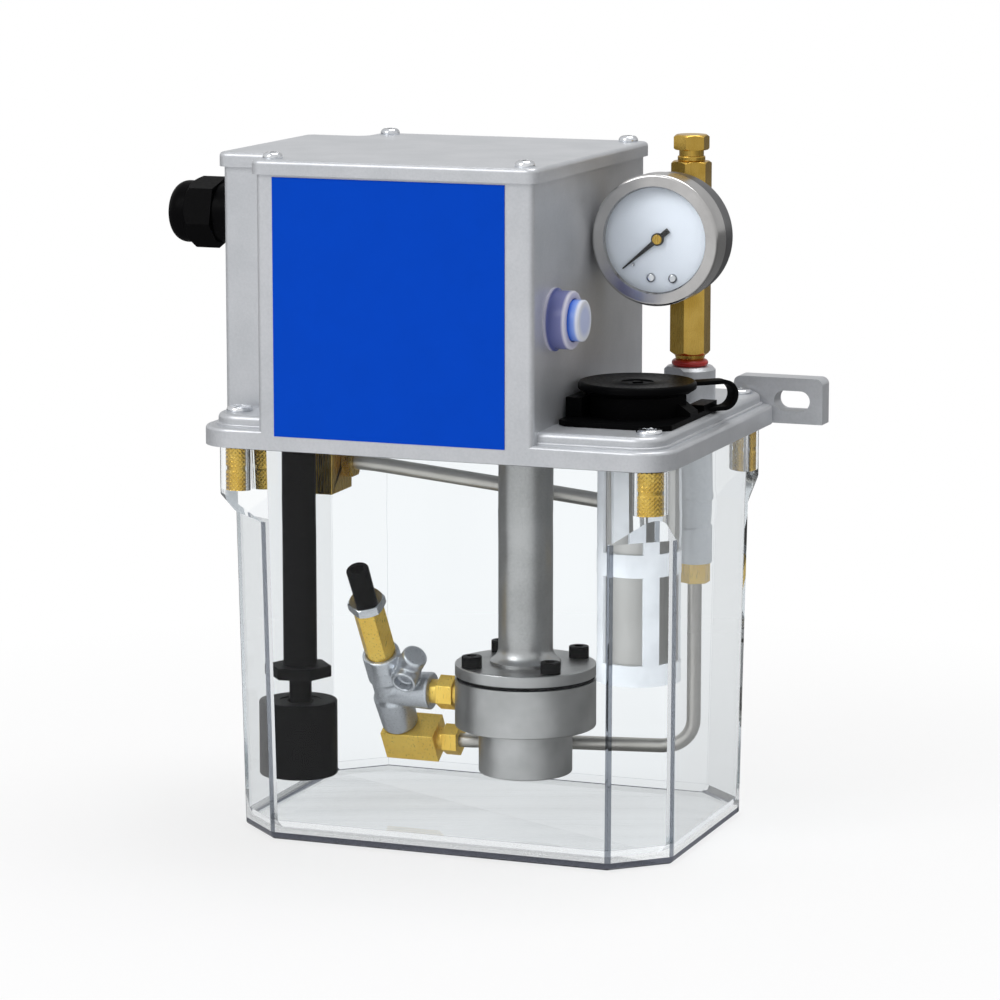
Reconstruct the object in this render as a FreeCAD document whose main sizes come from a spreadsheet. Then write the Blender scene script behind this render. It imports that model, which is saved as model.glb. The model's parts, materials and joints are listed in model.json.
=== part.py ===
import FreeCAD, Part
import math
import os
import re
import Sketcher
from FreeCAD import Placement, Rotation, Vector

# Automatic lubricator: a clear oil tank under a die-cast body with a motor, a gear pump on a
# long column, a relief valve, a pressure gauge, a filler with its strainer and a level switch.
# Millimetres, +Z up, front face towards -Y, origin in the middle of the tank's foot.

SIZES = (
    # clear tank, wider at its rim than at its foot, corners cut off below the screw bosses
    ("foot_x", 95), ("foot_y", 65), ("rim_x", 97), ("rim_y", 69),
    ("corner_x", 21), ("corner_y", 20), ("foot_chamfer", 1.5),
    ("tank_tall", 165), ("tank_wall", 4), ("tank_floor", 5), ("floor_chamfer", 3),
    ("boss_low", 135), ("boss_high", 147), ("boss_round", 8.5), ("boss_cut", 3),
    ("screw_x", 89), ("screw_y", 60),
    ("insert_r", 5.8), ("insert_tall", 18), ("insert_bore_r", 2.6),
    ("gasket_tall", 1.5),
    # die-cast body: flange, raised deck, box with a lobe on its left, ears
    ("flange_x", 102), ("flange_y", 77), ("flange_round", 15), ("flange_lip", 8),
    ("deck_inset", 5), ("deck_rise", 5), ("deck_round", 11), ("lip_edge", 1.6), ("deck_edge", 2.2),
    ("bead_inset", 3.9), ("bead_tall", 1.1), ("bead_round", 12), ("bead_edge", 0.5),
    ("recess_x", 84), ("recess_y", 57), ("recess_deep", 5.5),
    ("box_left", 73.5), ("box_right", 46), ("box_back", 59.5), ("box_tall", 99.5), ("box_wall", 4),
    ("lobe_left", 100), ("lobe_front", 50), ("lobe_back", 41), ("box_round", 2.5),
    ("ear_end", 123.2), ("ear_thick", 10), ("ear_tall", 19.5), ("ear_in", 84), ("ear_round", 3),
    ("slot_x", 109.8), ("slot_up", 9.7), ("slot_long", 15.8), ("slot_high", 8.6),
    ("flange_screw_r", 2.5), ("flange_head_r", 5.4), ("flange_head_tall", 2), ("screw_grip", 14),
    # lid
    ("lid_tall", 6), ("lid_over", 2), ("lid_round", 1.8),
    ("lid_screw_inset", 5.5), ("lid_post_r", 5), ("lid_post_long", 60),
    ("lid_screw_r", 2), ("lid_head_r", 4.1), ("lid_head_tall", 2.6), ("lid_screw_long", 16),
    # bare front panel
    ("panel_left", 66), ("panel_right", 34), ("panel_low", 6), ("panel_thick", 0.4),
    # cable gland on the left wall
    ("gland_y", -32), ("gland_down", 21), ("gland_r", 15.1), ("gland_collar_r", 12.4), ("gland_collar", 7), ("gland_nut", 12.5),
    ("gland_dome", 8.8), ("gland_dome_r", 12.9), ("gland_seat", 1.2), ("gland_bore_r", 6.5),
    ("gland_thread_r", 10), ("gland_lock_tall", 5), ("gland_lock_r", 13.2), ("gland_lock_seat", 1.2), ("gland_lock_seat_r", 11.2),
    # push button on the right wall
    ("button_y", -53), ("button_up", 43), ("button_skirt_r", 12.8), ("button_sleeve_r", 11.8),
    ("button_sleeve_long", 8.6), ("button_cap_r", 8.4), ("button_out", 4.6), ("button_travel", 3),
    ("button_neck_r", 9), ("button_body_r", 11), ("button_body_long", 26), ("button_stem_r", 3),
    # outlet column with its plug, and the cast boss that carries it
    ("column_x", 74), ("column_y", 37.3), ("column_flats", 15), ("column_gap", 1.9),
    ("column_tall", 81.1), ("spigot_r", 4.8), ("spigot_long", 12), ("boss_r", 10.8), ("boss_tall", 14), ("boss_edge", 1.4), ("boss_flat", 8.7), ("boss_turn", 33),
    ("oring_r", 1.45), ("plug_flats", 13.2), ("plug_washer_r", 5.75), ("plug_washer_tall", 2.2),
    ("plug_neck_tall", 2.5), ("plug_tall", 6.3), ("oil_bore_r", 2), ("passage_r", 1.8),
    # pressure gauge
    ("gauge_up", 52.7), ("gauge_face", 11), ("bezel_r", 27), ("bezel_deep", 12), ("bezel_lip", 5.6),
    ("bezel_wall", 1.4), ("case_r", 26), ("case_deep", 22), ("case_front", 3), ("case_wall", 1.5),
    ("dial_sink", 3), ("dial_tall", 1), ("glass_tall", 1.5), ("stem_r", 5), ("stem_short", 3.5), ("needle_tall", 0.6),
    ("needle_reach", 19.5), ("needle_tail", 6), ("needle_half", 1.1), ("needle_hub_r", 2.6),
    ("needle_rest", 220), ("needle_lift", 0.7), ("needle_pin_r", 1),
    ("dial_screw_r", 1.9), ("dial_screw_down", 15.9), ("dial_screw_left", 3), ("dial_screw_right", 6.3),
    # filler with its tethered cap and hanging strainer
    ("filler_x", 70.6), ("filler_y", -21), ("plate_left", 47.2), ("plate_right", 95),
    ("plate_front", -54), ("plate_back", 5), ("plate_tall", 2.2), ("plate_cut", 4),
    ("neck_r", 21), ("neck_tall", 8.2), ("neck_bore_r", 15), ("lug_tall", 8), ("lug_wide", 6.8),
    ("lug_long", 34), ("lug_back", 13), ("tether_lug_long", 17), ("tether_lug_tall", 4.5), ("web_tall", 6), ("web_wide", 10),
    ("cap_r", 24.2), ("cap_tall", 4.6), ("cap_gap", 0.3), ("cap_edge", 1.6), ("plug_long", 5.5),
    ("cap_dimple_r", 7), ("cap_dimple_deep", 0.8), ("cap_wall", 2.2), ("cap_foot_r", 21.5), ("cap_under", 1.8),
    ("strap_wide", 7), ("strap_thick", 1.6), ("strap_bend_r", 6.3), ("strap_reach", 16.5), ("strap_way", 46), ("strap_tuck", 9),
    ("strainer_r", 15.8), ("mesh_r", 14.6), ("mesh_thick", 0.4), ("strainer_low", 70.8),
    ("cup_tall", 8.7), ("band_up", 45.2), ("band_tall", 9.5), ("rim_r", 19), ("rim_tall", 1.5),
    ("rib_wide", 7), ("rib_turn", -50), ("filler_hole_r", 16.4), ("cup_floor", 1.5), ("top_band_tall", 12),
    # level switch
    ("level_x", -74.3), ("level_y", -32), ("level_r", 7.1), ("level_nut_r", 9.7), ("level_nut_tall", 3),
    ("collar_flats", 23.4), ("collar_low", 63.7), ("collar_tall", 4.9), ("level_stem_r", 4.7),
    ("float_low", 21.7), ("float_tall", 31.8), ("float_r", 15.5), ("float_bore_r", 5.7),
    ("float_ring_r", 8.8), ("clip_r", 7), ("clip_tall", 1.2), ("rest_gap", 0.3), ("float_travel", 9.8),
    # pump, drive shaft and motor
    ("pump_x", 15), ("pump_y", 0), ("pump_column_r", 11.5), ("pump_column_bore_r", 6),
    ("pump_foot_r", 15), ("pump_foot_tall", 4), ("pump_foot_round", 6), ("pump_r", 29.8), ("cover_low", 65), ("cover_tall", 4.7),
    ("pump_gasket_tall", 1.7), ("pump_body_tall", 20.3), ("sump_r", 19.8), ("sump_tall", 20),
    ("bolt_edge", 5), ("bolt_head_r", 4.25), ("bolt_head_tall", 5), ("bolt_r", 2.5),
    ("bolt_long", 16), ("hex_key", 4),
    ("gear_teeth", 12), ("gear_module", 1), ("gear_tall", 11.9), ("gear_tip_r", 6.9), ("gear_root_r", 4.7),
    ("tooth_root", 1), ("tooth_tip", 0.35), ("gear_room_r", 7.05), ("gear_deck_r", 14.8), ("shaft_r", 3), ("stub_r", 2),
    ("fit", 0.05), ("coupling_r", 5.2), ("coupling_down", 8.5), ("coupling_tall", 24),
    ("motor_r", 27), ("motor_tall", 64), ("motor_wall", 3), ("rotor_r", 21), ("rotor_tall", 44),
    ("board_x", 60), ("board_z", 66), ("board_thick", 1.6), ("board_post_r", 3), ("board_post_long", 4),
    ("board_left", 55), ("board_up", 14), ("board_post_inset", 5), ("chip_deep", 6),
    # relief valve, tilted towards the front, and the fittings beside it
    ("valve_x", -46.4), ("valve_z", 54.1), ("valve_tilt", 32), ("valve_top_r", 8.05), ("valve_top", 20.7),
    ("valve_waist_r", 7.2), ("valve_foot_r", 8.35), ("valve_foot", 21), ("valve_arm_r", 8.1),
    ("valve_arm", 19.4), ("branch_r", 5.5), ("branch_long", 24.3), ("branch_turn", 32.5), ("branch_x", 2.8),
    ("port_r", 5.4), ("port_x", 11.2), ("port_up", 11.6), ("port_long", 8.5), ("port_bore_r", 4),
    ("barrel_flats", 12), ("barrel_top", 43.3), ("barrel_neck_r", 5.9), ("barrel_low", 11),
    ("adjuster_r", 4.3), ("adjuster_top", 67.9), ("adjuster_low", 33), ("adjuster_socket_r", 2.6),
    ("locknut_flats", 14), ("locknut_tall", 4.5), ("poppet_r", 3.6), ("poppet_lift", 1.5),
    ("poppet_low", 14), ("spring_low", 19), ("spring_wire_r", 0.5), ("spring_turns", 6),
    ("fitting_flats", 13), ("fitting_r", 5.2), ("fitting_thread_r", 4.5), ("fitting_hex", 7.2),
    ("fitting_washer", 1.4), ("fitting_seat", 0.6), ("elbow_x", 24), ("elbow_left", 7), ("elbow_side", 14.5), ("elbow_tall", 14.6),
    ("nut_flats", 12), ("nut_hex", 6.7), ("nut_neck", 2.6), ("nut_neck_r", 5),
    # pipes and the fittings at their ends
    ("pipe_r", 3), ("pipe_bore_r", 2.1), ("bend_r", 12), ("socket_r", 7.2), ("socket_waist_r", 6.6),
    ("socket_long", 62.1), ("waist_up", 15.6), ("waist_tall", 12.5), ("riser_nut_flats", 11.5),
    ("riser_nut_tall", 8.4),
    ("sensor_x", -73.2), ("sensor_y", -7), ("sensor_wide", 15.8), ("sensor_deep", 21.7),
    ("sensor_down", 33), ("sensor_tall", 17), ("sensor_stub_r", 6), ("sensor_pipe_y", -1),
    ("sensor_pipe_up", 11.2), ("sensor_nut", 4), ("sensor_end_up", 20.1), ("switch_r", 11),
    ("switch_tall", 32),
)

doc = FreeCAD.newDocument("automatic_lubricator")
dims = doc.addObject("Spreadsheet::Sheet", "dims")
for row, (alias, value) in enumerate(SIZES, 1):
    dims.set(f"A{row}", alias)
    dims.set(f"B{row}", str(value))
    dims.setAlias(f"B{row}", alias)
doc.recompute()
ALIASES = {alias for alias, value in SIZES}

# Levels worked out from the driving sizes
UNDER = "(tank_tall + gasket_tall)"
LIP = f"({UNDER} + flange_lip)"
DECK = f"({LIP} + deck_rise)"
CEILING = f"({UNDER} + recess_deep)"
ROOF = f"({DECK} + box_tall)"
LID_TOP = f"({ROOF} + lid_tall)"
GLAND_Z = f"({ROOF} - gland_down)"
BUTTON_Z = f"({DECK} + button_up)"
BOSS = f"({DECK} + boss_tall)"
COLUMN = f"({BOSS} + oring_r * 2 + column_gap)"
GAUGE_Z = f"({COLUMN} + gauge_up)"
COUPLING = f"({UNDER} - coupling_down)"
SHAFT_TOP = f"({COUPLING} + coupling_tall / 2)"
BOLT_CIRCLE = "(pump_r - bolt_edge)"
SOCKET = f"({CEILING} - socket_long)"
SENSOR = f"({CEILING} - sensor_down)"
SENSOR_PIPE = f"({SENSOR} + sensor_pipe_up)"

# Ways an axis can point, as turns of the upright +Z axis
UP = Rotation()
DOWN = Rotation(Vector(1, 0, 0), 180)
FRONT = Rotation(Vector(1, 0, 0), 90)
BACK = Rotation(Vector(1, 0, 0), -90)
RIGHT = Rotation(Vector(0, 1, 0), 90)
LEFT = Rotation(Vector(0, 1, 0), -90)


def bind(text):
    """An expression for the document, with each alias looked up in the sheet."""
    return re.sub(r"[a-z][a-z_]*", lambda word: ("dims." if word.group() in ALIASES else "") + word.group(), text)


def size(text):
    """The present value of an expression in the sheet's aliases."""
    return float(dims.evalExpression(bind(text)))


def place(piece, at=("0", "0", "0"), turn=UP, spin=0):
    """Turns a piece about its own axis, points the axis, and ties its place to the sheet."""
    piece.Placement = Placement(Vector(), turn.multiply(Rotation(Vector(0, 0, 1), spin)))
    for axis, text in zip("xyz", at):
        piece.setExpression(f"Placement.Base.{axis}", bind(text))
    return piece


def solid(kind, name, at, turn=UP, spin=0, **lengths):
    """A primitive whose lengths are expressions."""
    piece = doc.addObject(f"Part::{kind}", name)
    for length, text in lengths.items():
        piece.setExpression(length, bind(text))
    return place(piece, at, turn, spin)


def rod(name, radius, tall, at, turn=UP):
    return solid("Cylinder", name, at, turn, Radius=radius, Height=tall)


def block(name, lengths, at, turn=UP, spin=0):
    return solid("Box", name, at, turn, spin, Length=lengths[0], Width=lengths[1], Height=lengths[2])


def hexagon(name, flats, tall, at, turn=UP, spin=0):
    """A hexagonal bar, sized across its flats."""
    piece = solid("Prism", name, at, turn, spin, Circumradius=f"({flats}) / sqrt(3)", Height=tall)
    piece.Polygon = 6
    return piece


def fuse(name, *pieces):
    joined = doc.addObject("Part::MultiFuse", name)
    joined.Shapes = list(pieces)
    return joined


def common(name, *pieces):
    shared = doc.addObject("Part::MultiCommon", name)
    shared.Shapes = list(pieces)
    return shared


def group(name, *pieces):
    """Separate solids that share one file, such as a set of screws."""
    bundle = doc.addObject("Part::Compound", name)
    bundle.Links = list(pieces)
    return bundle


def cut(name, base, *tools):
    left = doc.addObject("Part::Cut", name)
    left.Base = base
    left.Tool = tools[0] if len(tools) == 1 else fuse(f"{name}_tools", *tools)
    return left


def draw(sketch, outline):
    """A closed outline of straight edges whose corners are expressions."""
    corners = [(size(x), size(y)) for x, y in outline]
    count = len(corners)
    for start, end in zip(corners, corners[1:] + corners[:1]):
        sketch.addGeometry(Part.LineSegment(Vector(*start, 0), Vector(*end, 0)), False)
    for edge in range(count):
        sketch.addConstraint(Sketcher.Constraint("Coincident", edge, 2, (edge + 1) % count, 1))
    for edge, (texts, corner) in enumerate(zip(outline, corners)):
        for kind, text, value in zip(("DistanceX", "DistanceY"), texts, corner):
            index = sketch.addConstraint(Sketcher.Constraint(kind, -1, 1, edge, 1, value))
            sketch.setExpression(f"Constraints[{index}]", bind(text))


def sketch_in(body, name, outline, role, lift="0"):
    sketch = body.newObject("Sketcher::SketchObject", name)
    base = next(feature for feature in body.Origin.OriginFeatures if feature.Role == role)
    sketch.AttachmentSupport = (base, [""])
    sketch.MapMode = "FlatFace"
    sketch.setExpression("AttachmentOffset.Base.z", bind(lift))
    draw(sketch, outline)
    return sketch


def round_off(body, base, radius, wanted):
    """Rounds the edges of a feature that a test picks."""
    doc.recompute()
    names = [f"Edge{number}" for number, edge in enumerate(base.Shape.Edges, 1) if wanted(edge)]
    fillet = body.newObject("PartDesign::Fillet", f"{base.Name}_round")
    fillet.Base = (base, names)
    fillet.setExpression("Radius", bind(radius))
    return fillet


def upright(edge):
    return edge.Curve.TypeId == "Part::GeomLine" and abs(edge.tangentAt(edge.FirstParameter).z) > 0.999


def ring_at(radius, height):
    """A test for the circular edge of a turned piece at one radius and height of its own axis."""
    def wanted(edge):
        if edge.Curve.TypeId != "Part::GeomCircle":
            return False
        return abs(edge.Curve.Radius - size(radius)) < 1e-4 and abs(edge.Curve.Center.z - size(height)) < 1e-4
    return wanted


def turned(name, outline, at, turn=UP, rounds=()):
    """A piece turned on a lathe: outline in radius and height, with rounded rims."""
    body = doc.addObject("PartDesign::Body", name)
    sketch = sketch_in(body, f"{name}_outline", outline, "XZ_Plane")
    feature = body.newObject("PartDesign::Revolution", f"{name}_turned")
    feature.Profile = sketch
    feature.ReferenceAxis = (sketch, ["V_Axis"])
    feature.Angle = 360
    for radius, height, rounding in rounds:
        feature = round_off(body, feature, rounding, ring_at(radius, height))
    body.Tip = feature
    return place(body, at, turn)


def slab(name, outline, low, tall, rounding=None, at=("0", "0", "0"), top_round=None):
    """A plate cut to an outline seen from above, with rounded upright corners."""
    body = doc.addObject("PartDesign::Body", name)
    sketch = sketch_in(body, f"{name}_outline", outline, "XY_Plane", low)
    feature = body.newObject("PartDesign::Pad", f"{name}_pad")
    feature.Profile = sketch
    feature.setExpression("Length", bind(tall))
    if rounding:
        feature = round_off(body, feature, rounding, upright)
    if top_round:
        top = size(f"({low}) + ({tall})")
        feature = round_off(body, feature, top_round, lambda edge: edge.BoundBox.ZMin > top - 1e-4)
    body.Tip = feature
    return place(body, at)


def upright_plate(name, outline, deep, back, rounding=None, wanted=None):
    """A plate drawn from the front, running forward from its back face."""
    body = doc.addObject("PartDesign::Body", name)
    sketch = sketch_in(body, f"{name}_outline", outline, "XZ_Plane")
    feature = body.newObject("PartDesign::Pad", f"{name}_pad")
    feature.Profile = sketch
    feature.setExpression("Length", bind(deep))
    if rounding:
        feature = round_off(body, feature, rounding, wanted)
    body.Tip = feature
    return place(body, ("0", back, "0"))


def loft(name, *levels):
    """A straight-sided solid through outlines at several heights."""
    sketches = []
    for number, (low, outline) in enumerate(levels):
        sketch = doc.addObject("Sketcher::SketchObject", f"{name}_level_{number}")
        sketch.setExpression("Placement.Base.z", bind(low))
        draw(sketch, outline)
        sketches.append(sketch)
    shape = doc.addObject("Part::Loft", name)
    shape.Sections = sketches
    shape.Solid = True
    shape.Ruled = True
    return shape


def oblong(half_x, half_y):
    """A rectangle about the origin."""
    return (f"-({half_x})", f"-({half_y})"), (half_x, f"-({half_y})"), (half_x, half_y), (f"-({half_x})", half_y)


def eight_sided(half_x, half_y, cut_x, cut_y):
    """A rectangle about the origin with its corners cut off."""
    inner_x = f"({half_x}) - ({cut_x})"
    inner_y = f"({half_y}) - ({cut_y})"
    return (
        (f"-({inner_x})", f"-({half_y})"), (inner_x, f"-({half_y})"),
        (half_x, f"-({inner_y})"), (half_x, inner_y),
        (inner_x, half_y), (f"-({inner_x})", half_y),
        (f"-({half_x})", inner_y), (f"-({half_x})", f"-({inner_y})"),
    )


def four(name, maker, half_x, half_y):
    """The same piece at four corners about the origin, made by a function of name and place."""
    places = [(f"{a}({half_x})", f"{b}({half_y})") for a in ("-", "") for b in ("-", "")]
    return [maker(f"{name}_{number}", x, y) for number, (x, y) in enumerate(places)]


def pipe(name, corners, bends, radius, bore=None):
    """A pipe, or a solid bar, along straight runs joined by tangent arcs."""
    points = [Vector(*(size(text) for text in corner)) for corner in corners]
    edges = []
    start = points[0]
    for corner, after, bend in zip(points[1:-1], points[2:], bends):
        into = (corner - start).normalize()
        out = (after - corner).normalize()
        turn = into.getAngle(out)
        back = size(bend) * math.tan(turn / 2)
        first = corner - into * back
        last = corner + out * back
        middle = (out - into).normalize()
        bulge = corner + middle * (size(bend) / math.cos(turn / 2) - size(bend))
        edges += [Part.LineSegment(start, first).toShape(), Part.Arc(first, bulge, last).toShape()]
        start = last
    edges.append(Part.LineSegment(start, points[-1]).toShape())
    path = Part.Wire(edges)
    way = (points[1] - points[0]).normalize()
    piece = doc.addObject("Part::Feature", name)
    for text in (radius, bore) if bore else (radius,):
        rim = Part.Wire([Part.Circle(points[0], way, size(text)).toShape()])
        bar = path.makePipeShell([rim], True, False)
        piece.Shape = bar if text is radius else piece.Shape.cut(bar)
    return piece


# Tank
def wall_at(height):
    """Half width and half depth of the tank's outside at a height."""
    return (
        f"foot_x + (rim_x - foot_x) * ({height}) / tank_tall",
        f"foot_y + (rim_y - foot_y) * ({height}) / tank_tall",
    )


def tank_outline(height, inset="0", cut_less="0"):
    half_x, half_y = wall_at(height)
    return eight_sided(
        f"{half_x} - ({inset})", f"{half_y} - ({inset})",
        f"corner_x - ({cut_less})", f"corner_y - ({cut_less})",
    )


def make_tank():
    shell = loft(
        "tank_shell",
        ("0", tank_outline("0", "foot_chamfer", "foot_chamfer * 0.6")),
        ("foot_chamfer", tank_outline("foot_chamfer")),
        ("tank_tall", tank_outline("tank_tall")),
    )
    shoulder = loft(
        "tank_shoulder",
        ("boss_low", tank_outline("boss_low")),
        ("boss_high", eight_sided("rim_x", "rim_y", "boss_cut", "boss_cut")),
        ("tank_tall", eight_sided("rim_x", "rim_y", "boss_cut", "boss_cut")),
    )
    rim = slab("tank_rim", oblong("rim_x", "rim_y"), "boss_low", "tank_tall - boss_low", "boss_round")
    outside = fuse("tank_outside", shell, common("tank_bosses", shoulder, rim))
    less = "tank_wall * 0.59"
    cavity = loft(
        "tank_cavity",
        ("tank_floor", tank_outline("tank_floor", "tank_wall + floor_chamfer", f"{less} + floor_chamfer * 0.59")),
        ("tank_floor + floor_chamfer", tank_outline("tank_floor + floor_chamfer", "tank_wall", less)),
        ("tank_tall", tank_outline("tank_tall", "tank_wall", less)),
    )
    bores = four(
        "tank_bore",
        lambda name, x, y: rod(name, "insert_r", "insert_tall + 1", (x, y, "tank_tall - insert_tall")),
        "screw_x", "screw_y",
    )
    cut("tank", outside, cavity, *bores)


def make_insert(name, x, y):
    """A knurled brass insert, plain here, with the groove round its middle."""
    low = "-(insert_tall)"
    groove = "insert_r - 0.5"
    outline = (
        ("insert_bore_r", low), ("insert_r", low), ("insert_r", "-(insert_tall) * 0.55"),
        (groove, "-(insert_tall) * 0.55"), (groove, "-(insert_tall) * 0.45"),
        ("insert_r", "-(insert_tall) * 0.45"), ("insert_r", "0"), ("insert_bore_r", "0"),
    )
    return turned(name, outline, (x, y, "tank_tall"))


def make_tank_gasket():
    outer = slab("gasket_sheet", oblong("rim_x", "rim_y"), "tank_tall", "gasket_tall", "boss_round")
    opening = slab(
        "gasket_opening",
        tank_outline("tank_tall", "tank_wall", "tank_wall * 0.59"),
        "tank_tall - 1", "gasket_tall + 2",
    )
    holes = four(
        "gasket_hole",
        lambda name, x, y: rod(name, "flange_screw_r + fit", "gasket_tall + 2", (x, y, "tank_tall - 1")),
        "screw_x", "screw_y",
    )
    cut("tank_gasket", outer, opening, *holes)


# Die-cast body
def box_outline(grow="0"):
    """The box seen from above: a rectangle with a lobe on its left, grown or shrunk all round."""
    left = f"-(box_left + ({grow}))"
    right = f"box_right + ({grow})"
    front = f"-(flange_y + ({grow}))"
    back = f"box_back + ({grow})"
    lobe = f"-(lobe_left + ({grow}))"
    lobe_front = f"-(lobe_front + ({grow}))"
    lobe_back = f"lobe_back + ({grow})"
    return (
        (left, front), (right, front), (right, back), (left, back),
        (left, lobe_back), (lobe, lobe_back), (lobe, lobe_front), (left, lobe_front),
    )


LID_POINTS = (
    ("-(box_left - lid_screw_inset)", "-(flange_y - lid_screw_inset)"),
    ("box_right - lid_screw_inset", "-(flange_y - lid_screw_inset)"),
    ("box_right - lid_screw_inset", "box_back - lid_screw_inset"),
    ("-(box_left - lid_screw_inset)", "box_back - lid_screw_inset"),
)


def make_ear(name, side):
    """A wall ear at the back of the flange, rising past the deck with rounded ends."""
    tip = f"{side}(ear_end)"
    inner = f"{side}(ear_in)"
    top = f"{UNDER} + ear_tall"

    def top_corner(edge):
        return abs(edge.tangentAt(edge.FirstParameter).y) > 0.999 and abs(edge.CenterOfMass.z - size(top)) < 1e-3

    outline = ((inner, UNDER), (tip, UNDER), (tip, top), (inner, top))
    return upright_plate(name, outline, "ear_thick", "flange_y", "ear_round", top_corner)


def make_slot(name, side):
    """The cutter for one slotted hole of the ears."""
    height = f"{UNDER} + slot_up"
    run = "slot_long - slot_high"
    start = "flange_y - ear_thick - 1"
    middle = f"{side}(slot_x)"
    bar = block(f"{name}_bar", (run, "ear_thick + 2", "slot_high"), (f"{middle} - ({run}) / 2", start, f"{height} - slot_high / 2"))
    ends = [
        rod(f"{name}_end_{number}", "slot_high / 2", "ear_thick + 2", (f"{middle} {sign} ({run}) / 2", start, height), BACK)
        for number, sign in enumerate("+-")
    ]
    return fuse(name, bar, *ends)


def make_body_casting():
    flange = slab(
        "flange", oblong("flange_x", "flange_y"), UNDER, "flange_lip", "flange_round", top_round="lip_edge")
    deck = slab(
        "deck", oblong("flange_x - deck_inset", "flange_y - deck_inset"),
        f"{LIP} - 1", "deck_rise + 1", "deck_round", top_round="deck_edge",
    )
    bead = slab(
        "deck_bead", oblong("flange_x - bead_inset", "flange_y - bead_inset"),
        f"{LIP} - 1", "bead_tall + 1", "bead_round", top_round="bead_edge",
    )
    walls = slab("box_walls", box_outline(), f"{UNDER} + 1", f"{ROOF} - {UNDER} - 1", "box_round")
    room = slab("box_room", box_outline("-(box_wall)"), DECK, "box_tall + 1", "box_round")
    posts = [
        rod(f"lid_post_{number}", "lid_post_r", "lid_post_long", (x, y, f"{ROOF} - lid_post_long"))
        for number, (x, y) in enumerate(LID_POINTS)
    ]
    boss = cut(
        "outlet_boss",
        turned(
            "outlet_boss_round",
            (
                ("0", "-1"), ("boss_r", "-1"), ("boss_r", "boss_tall - boss_edge"),
                ("boss_r - boss_edge", "boss_tall"), ("0", "boss_tall"),
            ),
            ("column_x", "column_y", DECK),
        ),
        block(
            "outlet_boss_flat", ("boss_r * 2", "boss_r", "boss_tall + 3"),
            (
                "column_x - boss_r * cos(boss_turn) - (boss_flat + boss_r) * sin(boss_turn)",
                "column_y + boss_r * sin(boss_turn) - (boss_flat + boss_r) * cos(boss_turn)",
                f"{DECK} - 2",
            ),
            UP, -size("boss_turn"),
        ),
    )
    hollow = cut("box_hollow", fuse("box_and_flange", flange, deck, bead, walls), room)
    solid_casting = fuse("casting_solid", hollow, boss, *posts, make_ear("ear_right", ""), make_ear("ear_left", "-"))
    recess = slab(
        "under_recess", eight_sided("recess_x", "recess_y", "corner_x / 2", "corner_y / 2"),
        f"{UNDER} - 1", "recess_deep + 1",
    )
    through = f"{UNDER} - 1"
    tall = "flange_lip + deck_rise + 2"
    tools = four(
        "flange_hole", lambda name, x, y: rod(name, "flange_screw_r + fit", tall, (x, y, through)),
        "screw_x", "screw_y",
    )
    tools += [
        rod(f"lid_tap_{number}", "lid_screw_r + fit", "lid_screw_long", (x, y, f"{ROOF} - lid_screw_long + 1"))
        for number, (x, y) in enumerate(LID_POINTS)
    ]
    tools += [
        recess, make_slot("slot_right", ""), make_slot("slot_left", "-"),
        rod("shaft_hole", "pump_column_bore_r", tall, ("pump_x", "pump_y", through)),
        rod("filler_hole", "filler_hole_r", tall, ("filler_x", "filler_y", through)),
        rod("filler_seat", "rim_r + fit", "rim_tall + 1", ("filler_x", "filler_y", f"{DECK} - rim_tall")),
        rod("outlet_bore", "spigot_r + fit", "spigot_long + 3", ("column_x", "column_y", f"{DECK} + boss_tall - spigot_long")),
        rod("outlet_passage", "oil_bore_r", "boss_tall + 20", ("column_x", "column_y", through)),
        rod("sensor_hole", "spigot_r + fit", tall, ("sensor_x", "sensor_y", through)),
        rod("gland_hole", "gland_thread_r + fit", "box_wall + 2", ("-(lobe_left + 1)", "gland_y", GLAND_Z), RIGHT),
        rod("button_hole", "button_neck_r + fit", "box_wall + 2", ("box_right - box_wall - 1", "button_y", BUTTON_Z), RIGHT),
    ]
    cut("body_casting", solid_casting, *tools)


def cross_screw(name, radius, tall, shank, long, x, y, z):
    """An upright screw with a low domed head and a cross recess, seated at a height."""
    outline = (("0", f"-({long})"), (shank, f"-({long})"), (shank, "0"), (radius, "0"), (radius, tall), ("0", tall))
    blank = turned(f"{name}_blank", outline, (x, y, z), UP, [(radius, tall, f"({tall}) * 0.75")])
    arm = f"({radius}) * 1.1"
    thin = f"({radius}) * 0.24"
    deep = f"{z} + ({tall}) * 0.55"
    recess = [
        block(f"{name}_recess_{number}", (wide, across, tall), (f"{x} - {wide} / 2", f"{y} - {across} / 2", deep))
        for number, (wide, across) in enumerate(((arm, thin), (thin, arm)))
    ]
    return cut(name, blank, *recess)


def make_flange_screws():
    screws = four(
        "flange_screw",
        lambda name, x, y: cross_screw(
            name, "flange_head_r", "flange_head_tall", "flange_screw_r", "flange_lip + deck_rise + screw_grip", x, y, DECK),
        "screw_x", "screw_y",
    )
    group("flange_screws", *screws)


# Lid with its screws, and the bare front panel
def make_lid():
    plate = slab("lid_plate", box_outline("lid_over"), ROOF, "lid_tall", "box_round + lid_over", top_round="lid_round")
    holes = [
        rod(f"lid_hole_{number}", "lid_screw_r + fit", "lid_tall + 2", (x, y, f"{ROOF} - 1"))
        for number, (x, y) in enumerate(LID_POINTS)
    ]
    cut("lid", plate, *holes)
    screws = [
        cross_screw(f"lid_screw_{number}", "lid_head_r", "lid_head_tall", "lid_screw_r", "lid_screw_long", x, y, LID_TOP)
        for number, (x, y) in enumerate(LID_POINTS)
    ]
    group("lid_screws", *screws)


def make_front_panel():
    block(
        "front_panel",
        ("panel_left + panel_right", "panel_thick", f"{ROOF} - 1 - {UNDER} - panel_low"),
        ("-(panel_left)", "-(flange_y) - panel_thick", f"{UNDER} + panel_low"),
    )


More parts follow.
